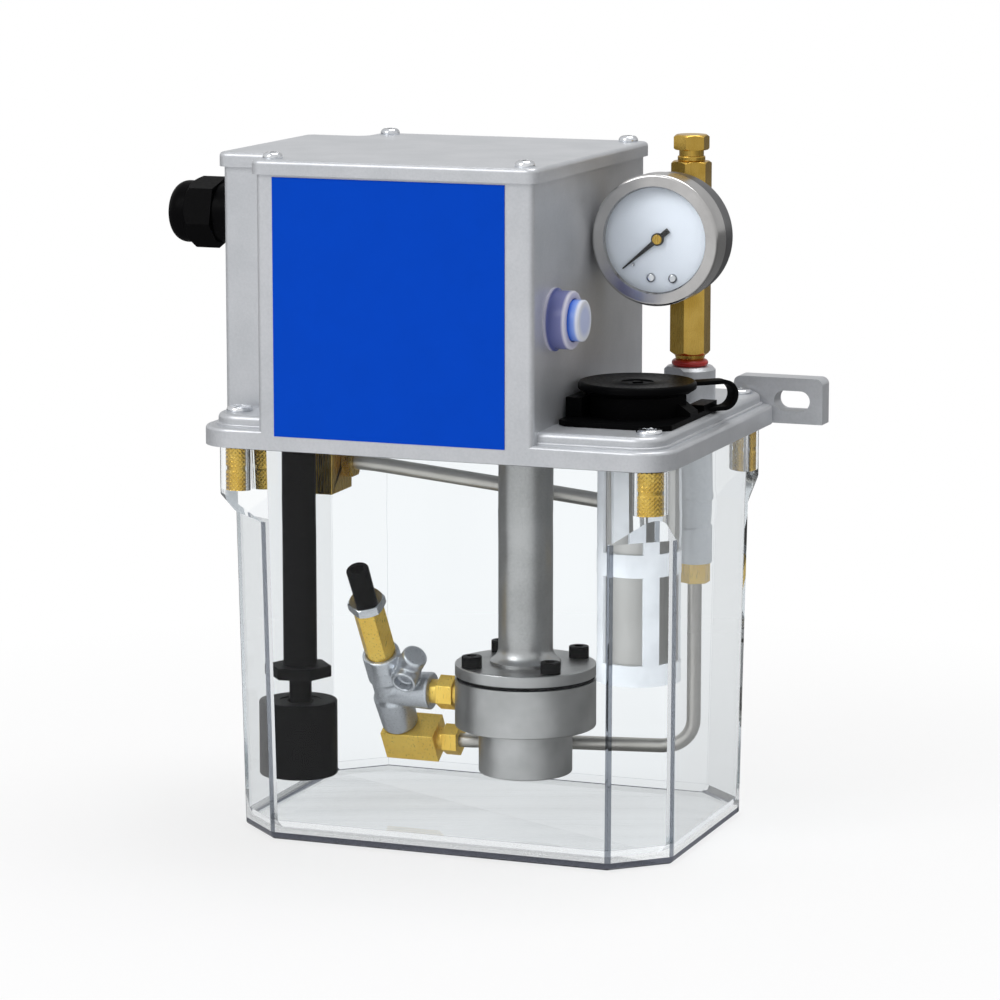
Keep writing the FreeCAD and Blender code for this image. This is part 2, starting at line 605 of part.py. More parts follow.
# Cable gland
def make_gland():
    wall = "-(lobe_left)"
    axis = ("gland_y", GLAND_Z)
    seat = f"{wall} - gland_seat"
    turn = 15
    collar = rod("gland_collar_round", "gland_collar_r", "gland_collar", (seat, *axis), LEFT)
    ring = rod("gland_seat_ring", "gland_r * 0.9", "gland_seat", (wall, *axis), LEFT)
    thread = rod("gland_thread", "gland_thread_r", "box_wall + gland_lock_tall + 3", (wall, *axis), RIGHT)
    bore = rod("gland_bore", "gland_bore_r", "gland_collar + box_wall + 20", (f"{seat} - gland_collar - 1", *axis), RIGHT)
    cut("gland_body", fuse("gland_body_solid", collar, ring, thread), bore)
    front = f"{seat} - gland_collar"
    nut_hex = hexagon("gland_nut_hex", "gland_r * sqrt(3)", "gland_nut", (front, *axis), LEFT, turn)
    chamfer = turned(
        "gland_nut_chamfer",
        (("0", "0"), ("gland_r + 1", "0"), ("gland_r + 1", "gland_nut - 3"), ("gland_dome_r", "gland_nut"), ("0", "gland_nut")),
        (front, *axis), LEFT,
    )
    total = "gland_nut + gland_dome"
    dome = turned(
        "gland_dome_part",
        (("0", "gland_nut - 2"), ("gland_dome_r", "gland_nut - 2"), ("gland_dome_r", total), ("0", total)),
        (front, *axis), LEFT, [("gland_dome_r", total, "gland_dome * 0.7")],
    )
    passage = rod("gland_nut_bore", "gland_bore_r + 1.5", f"{total} + 2", (f"{front} + 1", *axis), LEFT)
    cut("gland_nut", fuse("gland_nut_solid", common("gland_nut_body", nut_hex, chamfer), dome), passage)
    turned(
        "gland_insert",
        (
            ("gland_bore_r - 1", "0"), ("gland_bore_r + 1.5", "0"),
            ("gland_bore_r + 1.5", f"{total} - 2"), ("gland_bore_r - 1", f"{total} - 2"),
        ),
        (front, *axis), LEFT,
    )
    inside = f"{wall} + box_wall"
    nut = hexagon(
        "gland_locknut_hex", "gland_lock_r * sqrt(3)", "gland_lock_tall - gland_lock_seat",
        (f"{inside} + gland_lock_seat", *axis), RIGHT, turn)
    flange = rod("gland_locknut_seat", "gland_lock_seat_r", "gland_lock_seat + 1", (inside, *axis), RIGHT)
    hole = rod("gland_locknut_bore", "gland_thread_r + fit", "gland_lock_tall + 2", (f"{inside} - 1", *axis), RIGHT)
    cut("gland_locknut", fuse("gland_locknut_solid", nut, flange), hole)


# Push button: fixed switch and sleeve, moving plunger under a soft cap
def make_button():
    at = ("box_right", "button_y", BUTTON_Z)
    deep = "-(box_wall)"
    turned(
        "button_switch",
        (
            ("button_stem_r + fit", "0"), ("button_neck_r", "0"), ("button_neck_r", deep), ("button_body_r", deep),
            ("button_body_r", "-(button_body_long)"), ("0", "-(button_body_long)"), ("0", "-(box_wall + 9)"),
            ("button_stem_r + fit", "-(box_wall + 9)"),
        ),
        at, RIGHT,
    )
    turned(
        "button_sleeve",
        (
            ("button_cap_r + 0.4", "0"), ("button_skirt_r", "0"), ("button_skirt_r", "1.2"),
            ("button_sleeve_r", "1.8"), ("button_sleeve_r", "button_sleeve_long"),
            ("button_cap_r + 0.4", "button_sleeve_long"),
        ),
        at, RIGHT, [("button_sleeve_r", "button_sleeve_long", "0.8")],
    )
    out = "button_sleeve_long + button_out"
    turned(
        "button_cap",
        (
            ("button_cap_r - 1", "button_travel + 0.6"), ("button_cap_r", "button_travel + 0.6"),
            ("button_cap_r", out), ("0", out), ("0", f"{out} - 1"), ("button_cap_r - 1", f"{out} - 1"),
        ),
        at, RIGHT, [("button_cap_r", out, "0.9")],
    )
    turned(
        "button_plunger",
        (
            ("0", "-(box_wall + 4)"), ("button_stem_r", "-(box_wall + 4)"), ("button_stem_r", "button_travel + 0.6"),
            ("button_cap_r - 1", "button_travel + 0.6"), ("button_cap_r - 1", f"{out} - 1"), ("0", f"{out} - 1"),
        ),
        at, RIGHT,
    )


# Outlet column with its plug and red seal ring
def make_outlet_column():
    at = ("column_x", "column_y")
    top = f"{COLUMN} + column_tall"
    bar = hexagon("column_bar", "column_flats", "column_tall", (*at, COLUMN), UP, 30)
    trim = turned(
        "column_trim",
        (
            ("0", "0"), ("column_flats / 2 - 0.8", "0"), ("column_flats / 2 + 1.3", "1.6"),
            ("column_flats / 2 + 1.3", "column_tall - 1"), ("column_flats / 2", "column_tall"), ("0", "column_tall"),
        ),
        (*at, COLUMN),
    )
    seat = BOSS
    neck = turned(
        "column_neck",
        (
            ("0", f"{seat} - spigot_long"), ("spigot_r", f"{seat} - spigot_long"), ("spigot_r", f"{seat}"),
            ("spigot_r", f"{seat} + oring_r * 2 - 0.1"), ("column_flats / 2 - 1.6", f"{seat} + oring_r * 2 - 0.1"),
            ("column_flats / 2 - 0.8", f"{COLUMN} + 1"), ("0", f"{COLUMN} + 1"),
        ),
        (*at, "0"),
    )
    passage = rod("column_passage", "oil_bore_r", "column_tall + 40", (*at, f"{seat} - spigot_long - 1"))
    side = rod("column_side_bore", "stem_r + fit", "column_flats", ("column_x", "column_y - stem_short", GAUGE_Z), FRONT)
    mouth = rod("column_mouth", "spigot_r + fit", "10", (*at, f"{top} - 9"))
    cut("outlet_column", fuse("column_solid", common("column_hex", bar, trim), neck), passage, side, mouth)
    washer = f"{top} + plug_washer_tall"
    neck_top = f"{washer} + plug_neck_tall"
    plug_top = f"{neck_top} + plug_tall"
    shank = turned(
        "plug_shank",
        (
            ("0", f"{top} - 8"), ("spigot_r", f"{top} - 8"), ("spigot_r", top), ("plug_washer_r", top),
            ("plug_washer_r", washer), ("plug_washer_r - 0.6", washer), ("plug_washer_r - 0.6", f"{neck_top} + 1"),
            ("0", f"{neck_top} + 1"),
        ),
        (*at, "0"), UP, [("plug_washer_r", top, "0.5"), ("plug_washer_r", washer, "0.5")],
    )
    head = hexagon("plug_hex", "plug_flats", "plug_tall", (*at, neck_top), UP, 30)
    trim = turned(
        "plug_trim",
        (
            ("0", neck_top), ("plug_flats / 2 + 0.2", neck_top), ("plug_flats / 2 + 1.2", f"{neck_top} + 0.7"),
            ("plug_flats / 2 + 1.2", f"{plug_top} - 1.1"), ("plug_flats / 2 - 0.3", plug_top), ("0", plug_top),
        ),
        (*at, "0"),
    )
    fuse("outlet_plug", shank, common("plug_head", head, trim))
    solid(
        "Torus", "column_oring", (*at, f"{seat} + oring_r"),
        Radius1="spigot_r + oring_r", Radius2="oring_r - 0.05",
    )


# Pressure gauge, its axis pointing to the front
def make_gauge():
    axis_y = "0"
    at = ("column_x", axis_y, GAUGE_Z)
    back = "gauge_face - case_front - case_deep"
    rim = "gauge_face - case_front"
    dial = f"{rim} - dial_sink"
    case = turned(
        "gauge_case_body",
        (
            ("needle_pin_r + fit", back), ("case_r", back), ("case_r", rim), ("case_r - case_wall", rim),
            ("case_r - case_wall", f"{dial} - dial_tall"), ("needle_pin_r + fit", f"{dial} - dial_tall"),
        ),
        at, FRONT, [("case_r", back, "1.5")],
    )
    stem = rod("gauge_stem", "stem_r", f"column_y - stem_short + ({back})", ("column_x", f"-({back})", GAUGE_Z), BACK)
    fuse("gauge_case", case, stem)
    turned(
        "gauge_dial",
        (
            ("needle_pin_r + fit", f"{dial} - dial_tall"), ("case_r - case_wall - 0.1", f"{dial} - dial_tall"),
            ("case_r - case_wall - 0.1", dial), ("needle_pin_r + fit", dial),
        ),
        at, FRONT,
    )
    turned(
        "gauge_glass",
        (("0", rim), ("case_r - 0.4", rim), ("case_r - 0.4", f"{rim} + glass_tall"), ("0", f"{rim} + glass_tall")),
        at, FRONT,
    )
    lip = "bezel_r - bezel_lip"
    turned(
        "gauge_bezel",
        (
            ("case_r + 0.05", "gauge_face - bezel_deep"), ("bezel_r", "gauge_face - bezel_deep"),
            ("bezel_r", "gauge_face"), (f"{lip} + 0.6", "gauge_face"), (lip, f"{rim} + glass_tall"),
            ("case_r + 0.05", f"{rim} + glass_tall"),
        ),
        at, FRONT, [("bezel_r", "gauge_face", "bezel_wall * 0.9"), ("bezel_r", "gauge_face - bezel_deep", "0.5")],
    )
    low = f"{dial} + needle_lift"
    hub = turned(
        "needle_hub",
        (
            ("0", f"{back} + 2"), ("needle_pin_r", f"{back} + 2"), ("needle_pin_r", low), ("needle_hub_r", low),
            ("needle_hub_r", f"{low} + needle_tall + 0.5"), ("0", f"{low} + needle_tall + 0.5"),
        ),
        at, FRONT,
    )
    blade_body = doc.addObject("PartDesign::Body", "needle_blade")
    reach = "needle_reach"
    outline = (
        ("-(needle_tail)", "-(needle_half)"), ("0", "-(needle_half)"), (reach, "-0.25"),
        (reach, "0.25"), ("0", "needle_half"), ("-(needle_tail)", "needle_half"),
    )
    sketch = sketch_in(blade_body, "needle_outline", outline, "XY_Plane", low)
    pad = blade_body.newObject("PartDesign::Pad", "needle_pad")
    pad.Profile = sketch
    pad.setExpression("Length", bind("needle_tall"))
    place(blade_body, at, FRONT, size("needle_rest"))
    fuse("gauge_pointer", hub, blade_body)
    screws = []
    for number, x in enumerate(("column_x - dial_screw_left", "column_x + dial_screw_right")):
        screws.append(turned(
            f"dial_screw_{number}",
            (("0", dial), ("dial_screw_r", dial), ("dial_screw_r", f"{dial} + 1.3"), ("0", f"{dial} + 1.3")),
            (x, axis_y, f"{GAUGE_Z} - dial_screw_down"), FRONT, [("dial_screw_r", f"{dial} + 1.3", "1.1")],
        ))
    group("dial_screws", *screws)


# Filler: base plate and neck, cap with its plug, tether strap, strainer
def make_filler():
    at = ("filler_x", "filler_y")
    left, right, front, back = "plate_left", "plate_right", "plate_front", "plate_back"
    outline = (
        (f"{left} + plate_cut", front), (f"{right} - plate_cut", front), (right, f"{front} + plate_cut"),
        (right, back), (left, back), (left, f"{front} + plate_cut"),
    )
    plate = slab("filler_plate", outline, DECK, "plate_tall")
    spout = solid("Prism", "filler_neck_octagon", (*at, DECK), Circumradius="neck_r", Height="plate_tall + neck_tall")
    spout.Polygon = 8
    collar = rod("filler_collar", "neck_bore_r + 1.9", "plate_tall + neck_tall", (*at, DECK))
    left_lug = block(
        "filler_left_lug", ("lug_wide", "lug_long", "plate_tall + lug_tall"),
        (left, "filler_y + lug_back - lug_long", DECK))
    right_lug = block(
        "filler_right_lug", ("lug_wide", "tether_lug_long", "tether_lug_tall"),
        (f"{right} - lug_wide", f"{back} + 4 - tether_lug_long", DECK))
    web_foot = f"{DECK} + plate_tall"
    web_in = "filler_x + neck_r - 3"
    web = upright_plate(
        "filler_web",
        ((web_in, web_foot), (right, web_foot), (right, f"{web_foot} + 1.5"), (web_in, f"{web_foot} + web_tall")),
        "web_wide", "filler_y + web_wide / 2",
    )
    bore = rod("filler_bore", "neck_bore_r", "plate_tall + neck_tall + 4", (*at, f"{DECK} - 2"))
    neck = cut("filler_neck", fuse("filler_solid", plate, spout, collar, left_lug, right_lug, web), bore)

    seat = f"{DECK} + plate_tall + neck_tall + cap_gap"
    top = f"{seat} + cap_tall"
    plug = "neck_bore_r - 0.08"
    turned(
        "filler_cap",
        (
            ("0", f"{top} - cap_dimple_deep"), ("cap_dimple_r", f"{top} - cap_dimple_deep"), ("cap_dimple_r", top),
            ("cap_r", top), ("cap_r", f"{seat} + cap_under"), ("cap_foot_r", seat), (plug, seat),
            (plug, f"{seat} - plug_long"),
            (f"{plug} - cap_wall", f"{seat} - plug_long"), (f"{plug} - cap_wall", f"{seat} + 1"), ("0", f"{seat} + 1"),
        ),
        (*at, "0"), UP, [("cap_r", top, "cap_edge")],
    )

    strap_top = f"{top} - cap_edge - 0.2"
    bend = "strap_bend_r"
    middle = f"{strap_top} - {bend}"
    way = size("strap_way")
    room = ("strap_reach + 20", "strap_wide + 2", f"{bend} * 2 + 2")
    ring = cut(
        "strap_ring",
        rod("strap_ring_outer", bend, "strap_wide", ("strap_reach", "-(strap_wide) / 2", "0"), BACK),
        rod("strap_ring_inner", f"{bend} - strap_thick", "strap_wide + 2", ("strap_reach", "-(strap_wide) / 2 - 1", "0"), BACK),
    )
    half = common(
        "strap_half_ring", ring,
        block("strap_half_room", room, ("strap_reach", "-(strap_wide) / 2 - 1", f"-({bend}) - 1")),
    )
    upper = block("strap_upper", ("strap_reach", "strap_wide", "strap_thick"), ("0", "-(strap_wide) / 2", f"{bend} - strap_thick"))
    lower = block(
        "strap_lower", ("strap_reach - strap_tuck", "strap_wide", "strap_thick"),
        ("strap_tuck", "-(strap_wide) / 2", f"-({bend})"))
    strap = fuse("strap_band", upper, half, lower)
    place(strap, (f"filler_x + (cap_r - 2) * cos({way})", f"filler_y + (cap_r - 2) * sin({way})", middle), UP, way)
    keep_off = rod("strap_cap_room", "cap_r + 0.05", "40", (*at, f"{DECK} + plate_tall"))
    cut("filler_tether", strap, keep_off, neck)

    make_strainer(at)


def make_strainer(at):
    low = "strainer_low"
    inner = "mesh_r + fit"
    top = f"{DECK} - rim_tall"
    cup = turned(
        "strainer_cup",
        (
            ("0", low), ("strainer_r", low), ("strainer_r", f"{low} + cup_tall"), (inner, f"{low} + cup_tall"),
            (inner, f"{low} + cup_floor"), ("0", f"{low} + cup_floor"),
        ),
        (*at, "0"),
    )
    band_low = f"{low} + band_up"
    band_top = f"{band_low} + band_tall"
    band = turned(
        "strainer_band",
        ((inner, band_low), ("strainer_r", band_low), ("strainer_r", band_top), (inner, band_top)),
        (*at, "0"),
    )
    rim = turned(
        "strainer_rim",
        (
            (inner, f"{top} - top_band_tall"), ("strainer_r", f"{top} - top_band_tall"), ("strainer_r", top),
            ("rim_r", top), ("rim_r", DECK), (inner, DECK),
        ),
        (*at, "0"),
    )
    tube = turned(
        "strainer_rib_room",
        ((inner, f"{low} + 1"), ("strainer_r", f"{low} + 1"), ("strainer_r", top), (inner, top)),
        (*at, "0"),
    )
    turn = size("rib_turn")
    bars = []
    for number in range(2):
        bar = block(f"strainer_bar_{number}", ("strainer_r * 2.2", "rib_wide", f"{top} - {low}"), ("0", "0", low))
        angle = turn + 90 * number
        bars.append(place(
            bar,
            (
                f"filler_x - strainer_r * 1.1 * cos({angle}) + rib_wide / 2 * sin({angle})",
                f"filler_y - strainer_r * 1.1 * sin({angle}) - rib_wide / 2 * cos({angle})",
                low,
            ),
            UP, angle,
        ))
    ribs = common("strainer_ribs", tube, fuse("strainer_bars", *bars))
    fuse("strainer_frame", cup, band, rim, ribs)
    turned(
        "strainer_mesh",
        (
            ("mesh_r - mesh_thick", f"{low} + cup_floor"), ("mesh_r", f"{low} + cup_floor"),
            ("mesh_r", DECK), ("mesh_r - mesh_thick", DECK),
        ),
        (*at, "0"),
    )


# Level switch with its float
def make_level_switch():
    at = ("level_x", "level_y")
    collar_top = "collar_low + collar_tall"
    turned(
        "level_tube",
        (
            ("level_r - 1.5", collar_top), ("level_r", collar_top), ("level_r", f"{UNDER} - level_nut_tall"),
            ("level_nut_r", f"{UNDER} - level_nut_tall"), ("level_nut_r", UNDER), ("level_r", UNDER),
            ("level_r", CEILING), ("level_r - 1.5", CEILING),
        ),
        (*at, "0"),
    )
    collar = hexagon("level_collar", "collar_flats", "collar_tall", (*at, "collar_low"), UP, 10)
    stem_low = "float_low - rest_gap - clip_tall - 1"
    stem = turned(
        "level_stem_rod",
        (("0", stem_low), ("level_stem_r", stem_low), ("level_stem_r", "collar_low + 1"), ("0", "collar_low + 1")),
        (*at, "0"),
    )
    spigot = rod("level_stem_spigot", "level_r - 1.5 - fit", "10", (*at, f"{collar_top} - 1"))
    fuse("level_stem", collar, stem, spigot)
    turned(
        "level_clip",
        (
            ("level_stem_r + fit", "float_low - rest_gap - clip_tall"), ("clip_r", "float_low - rest_gap - clip_tall"),
            ("clip_r", "float_low - rest_gap"), ("level_stem_r + fit", "float_low - rest_gap"),
        ),
        (*at, "0"),
    )
    top = "float_low + float_tall"
    turned(
        "level_float",
        (
            ("float_bore_r", "float_low"), ("float_r", "float_low"), ("float_r", top), ("float_ring_r", top),
            ("float_ring_r", f"{top} - 0.5"), ("float_bore_r", f"{top} - 0.5"),
        ),
        (*at, "0"), UP, [("float_r", top, "0.8"), ("float_r", "float_low", "0.8")],
    )


# Gear pump under its column
def make_pump():
    at = ("pump_x", "pump_y")
    cover_top = "cover_low + cover_tall"
    foot_top = f"{cover_top} + pump_foot_tall"
    bore = "pump_column_bore_r"
    turned(
        "pump_column",
        (
            (bore, cover_top), ("pump_foot_r", cover_top), ("pump_foot_r", f"{cover_top} + 1.2"),
            ("pump_column_r", foot_top), ("pump_column_r", CEILING), (bore, CEILING),
        ),
        (*at, "0"), UP, [("pump_column_r", foot_top, "pump_foot_round")],
    )
    places = [
        (f"pump_x + {BOLT_CIRCLE} * cos({angle})", f"pump_y + {BOLT_CIRCLE} * sin({angle})")
        for angle in (45, 135, 225, 315)
    ]
    body_top = "cover_low - pump_gasket_tall"
    body_low = f"{body_top} - pump_body_tall"

    def bolt_holes(name, low, tall):
        return [rod(f"{name}_{number}", "bolt_r + fit", tall, (x, y, low)) for number, (x, y) in enumerate(places)]

    cover = turned(
        "pump_cover_disc",
        ((bore, "cover_low"), ("pump_r", "cover_low"), ("pump_r", cover_top), (bore, cover_top)),
        (*at, "0"), UP, [("pump_r", cover_top, "0.5")],
    )
    cut("pump_cover", cover, *bolt_holes("cover_hole", "cover_low - 1", "cover_tall + 2"))
    deck_y = "pump_y + gear_teeth * gear_module / 2"
    gasket = rod("pump_gasket_disc", "pump_r - 0.8", "pump_gasket_tall", (*at, body_top))
    opening = rod("pump_gasket_opening", "gear_deck_r + fit", "pump_gasket_tall + 2", ("pump_x", deck_y, f"{body_top} - 1"))
    cut("pump_gasket", gasket, opening, *bolt_holes("gasket_bolt_hole", f"{body_top} - 1", "pump_gasket_tall + 2"))
    body = turned(
        "pump_body_solid",
        (
            ("0", f"{body_low} - sump_tall"), ("sump_r", f"{body_low} - sump_tall"), ("sump_r", body_low),
            ("pump_r", body_low), ("pump_r", body_top), ("0", body_top),
        ),
        (*at, "0"), UP, [("pump_r", body_low, "0.6"), ("sump_r", f"{body_low} - sump_tall", "0.8")],
    )
    gear_low = "cover_low - gear_tall - fit"
    stub_y = "pump_y + gear_teeth * gear_module"
    tools = [
        rod("gear_room_drive", "gear_room_r", "gear_tall + 2", (*at, gear_low)),
        rod("gear_room_driven", "gear_room_r", "gear_tall + 2", ("pump_x", stub_y, gear_low)),
        rod("shaft_bearing", "shaft_r + fit", "12", (*at, f"{gear_low} - 8")),
        rod("stub_bearing", "stub_r + fit", "12", ("pump_x", stub_y, f"{gear_low} - 6")),
        rod("suction_bore", "6", "sump_tall - 2", (*at, f"{body_low} - sump_tall - 1")),
        rod("suction_passage", "passage_r", "30", ("pump_x + 5", "pump_y + 6", f"{body_low} - sump_tall + 10")),
        rod("pressure_port", "fitting_thread_r + fit", "pump_r", ("pump_x - pump_r - 10", "pump_y", "valve_z"), RIGHT),
        rod("pressure_seat", "fitting_r + fit", "fitting_seat + 2", ("pump_x - pump_r - 2", "pump_y", "valve_z"), RIGHT),
    ]
    tools += bolt_holes("body_hole", f"{body_top} - bolt_long + cover_tall", "bolt_long")
    deck = rod("gear_deck", "gear_deck_r", "pump_gasket_tall + 1", ("pump_x", deck_y, f"{body_top} - 1"))
    cut("pump_body", fuse("pump_body_and_deck", body, deck), *tools)
    bolts = []
    for number, (x, y) in enumerate(places):
        blank = turned(
            f"pump_bolt_blank_{number}",
            (
                ("0", f"{cover_top} - bolt_long"), ("bolt_r", f"{cover_top} - bolt_long"), ("bolt_r", cover_top),
                ("bolt_head_r", cover_top), ("bolt_head_r", f"{cover_top} + bolt_head_tall"),
                ("0", f"{cover_top} + bolt_head_tall"),
            ),
            (x, y, "0"), UP, [("bolt_head_r", f"{cover_top} + bolt_head_tall", "0.5")],
        )
        socket = hexagon(f"pump_bolt_socket_{number}", "hex_key", "3", (x, y, f"{cover_top} + bolt_head_tall - 2.5"))
        bolts.append(cut(f"pump_bolt_{number}", blank, socket))
    group("pump_bolts", *bolts)
    make_gears(at, gear_low, stub_y)


def make_gear(name, at, spin, bore):
    """A spur gear: a root disc and one tooth repeated round it."""
    body = doc.addObject("PartDesign::Body", name)
    disc = body.newObject("Sketcher::SketchObject", f"{name}_disc")
    base = next(feature for feature in body.Origin.OriginFeatures if feature.Role == "XY_Plane")
    disc.AttachmentSupport = (base, [""])
    disc.MapMode = "FlatFace"
    for number, text in enumerate(("gear_root_r", bore)):
        disc.addGeometry(Part.Circle(Vector(), Vector(0, 0, 1), size(text)), False)
        disc.addConstraint(Sketcher.Constraint("Coincident", number, 3, -1, 1))
        index = disc.addConstraint(Sketcher.Constraint("Radius", number, size(text)))
        disc.setExpression(f"Constraints[{index}]", bind(text))
    wheel = body.newObject("PartDesign::Pad", f"{name}_wheel")
    wheel.Profile = disc
    wheel.setExpression("Length", bind("gear_tall"))
    tooth = (
        ("gear_root_r - 0.4", "-(tooth_root)"), ("gear_tip_r", "-(tooth_tip)"),
        ("gear_tip_r", "tooth_tip"), ("gear_root_r - 0.4", "tooth_root"),
    )
    sketch = sketch_in(body, f"{name}_tooth_outline", tooth, "XY_Plane")
    one = body.newObject("PartDesign::Pad", f"{name}_tooth")
    one.Profile = sketch
    one.setExpression("Length", bind("gear_tall"))
    ring = body.newObject("PartDesign::PolarPattern", f"{name}_teeth")
    ring.Originals = [one]
    ring.Axis = (disc, ["N_Axis"])
    ring.Angle = 360
    ring.setExpression("Occurrences", bind("gear_teeth"))
    body.Tip = ring
    return place(body, at, UP, spin)


def make_gears(at, gear_low, stub_y):
    make_gear("drive_gear", (*at, gear_low), 0, "shaft_r")
    wheel = make_gear("driven_gear_wheel", ("pump_x", stub_y, gear_low), 180 / size("gear_teeth"), "stub_r")
    stub = rod("driven_stub", "stub_r", "gear_tall + 5", ("pump_x", stub_y, f"{gear_low} - 5"))
    fuse("driven_gear", wheel, stub)
    turned(
        "drive_shaft",
        (
            ("0", f"{gear_low} - 7"), ("shaft_r", f"{gear_low} - 7"), ("shaft_r", SHAFT_TOP),
            ("0", SHAFT_TOP),
        ),
        (*at, "0"),
    )
    turned(
        "shaft_coupling",
        (
            ("shaft_r", COUPLING), ("coupling_r", COUPLING), ("coupling_r", f"{COUPLING} + coupling_tall"),
            ("shaft_r", f"{COUPLING} + coupling_tall"),
        ),
        (*at, "0"),
    )


# Motor, circuit board and pressure switch inside the box
def make_inside():
    at = ("pump_x", "pump_y", DECK)
    turned(
        "motor_housing",
        (
            ("coupling_r + 1", "0"), ("motor_r", "0"), ("motor_r", "motor_tall"), ("0", "motor_tall"),
            ("0", "motor_tall - motor_wall"), ("motor_r - motor_wall", "motor_tall - motor_wall"),
            ("motor_r - motor_wall", "motor_wall"), ("coupling_r + 1", "motor_wall"),
        ),
        at, UP, [("motor_r", "motor_tall", "2")],
    )
    start = "(motor_tall - rotor_tall) / 2"
    turned(
        "motor_rotor",
        (
            ("0", f"{SHAFT_TOP} - {DECK}"), ("shaft_r", f"{SHAFT_TOP} - {DECK}"),
            ("shaft_r", start), ("rotor_r", start), ("rotor_r", f"{start} + rotor_tall"),
            ("shaft_r", f"{start} + rotor_tall"), ("shaft_r", "motor_tall - motor_wall - 0.5"),
            ("0", "motor_tall - motor_wall - 0.5"),
        ),
        at,
    )
    back = "box_back - box_wall"
    left = "-(board_left)"
    low = f"{DECK} + board_up"
    plate = block(
        "board_plate", ("board_x", "board_thick", "board_z"), (left, f"{back} - board_post_long - board_thick", low))
    posts = [
        rod(f"board_post_{number}", "board_post_r", "board_post_long", (x, back, z), FRONT)
        for number, (x, z) in enumerate(
            (f"{left} + {a}", f"{low} + {b}")
            for a in ("board_post_inset", "board_x - board_post_inset") for b in ("board_post_inset", "board_z - board_post_inset")
        )
    ]
    chips = [
        block(
            f"board_chip_{number}", (f"board_x * {wide}", "chip_deep", f"board_z * {high}"),
            (f"{left} + board_x * {x}", f"{back} - board_post_long - board_thick - chip_deep", f"{low} + board_z * {z}"))
        for number, (x, z, wide, high) in enumerate(((0.13, 0.15, 0.37, 0.24), (0.6, 0.18, 0.27, 0.36), (0.17, 0.6, 0.67, 0.18)))
    ]
    fuse("circuit_board", plate, *posts, *chips)
    turned(
        "pressure_switch",
        (
            ("0", DECK), ("switch_r", DECK), ("switch_r", f"{DECK} + switch_tall * 0.6"), ("switch_r - 3", f"{DECK} + switch_tall * 0.6"),
            ("switch_r - 3", f"{DECK} + switch_tall"), ("0", f"{DECK} + switch_tall"),
        ),
        ("sensor_x", "sensor_y", "0"), UP, [("switch_r", f"{DECK} + switch_tall * 0.6", "1")],
    )


# Relief valve, drawn upright about its own centre and then tilted
def tilted(piece):
    piece.Placement = Placement(Vector(), Rotation(Vector(1, 0, 0), 1))
    piece.setExpression("Placement.Rotation.Angle", bind("valve_tilt"))
    for axis, text in zip("xyz", ("valve_x", "pump_y", "valve_z")):
        piece.setExpression(f"Placement.Base.{axis}", bind(text))
    return piece


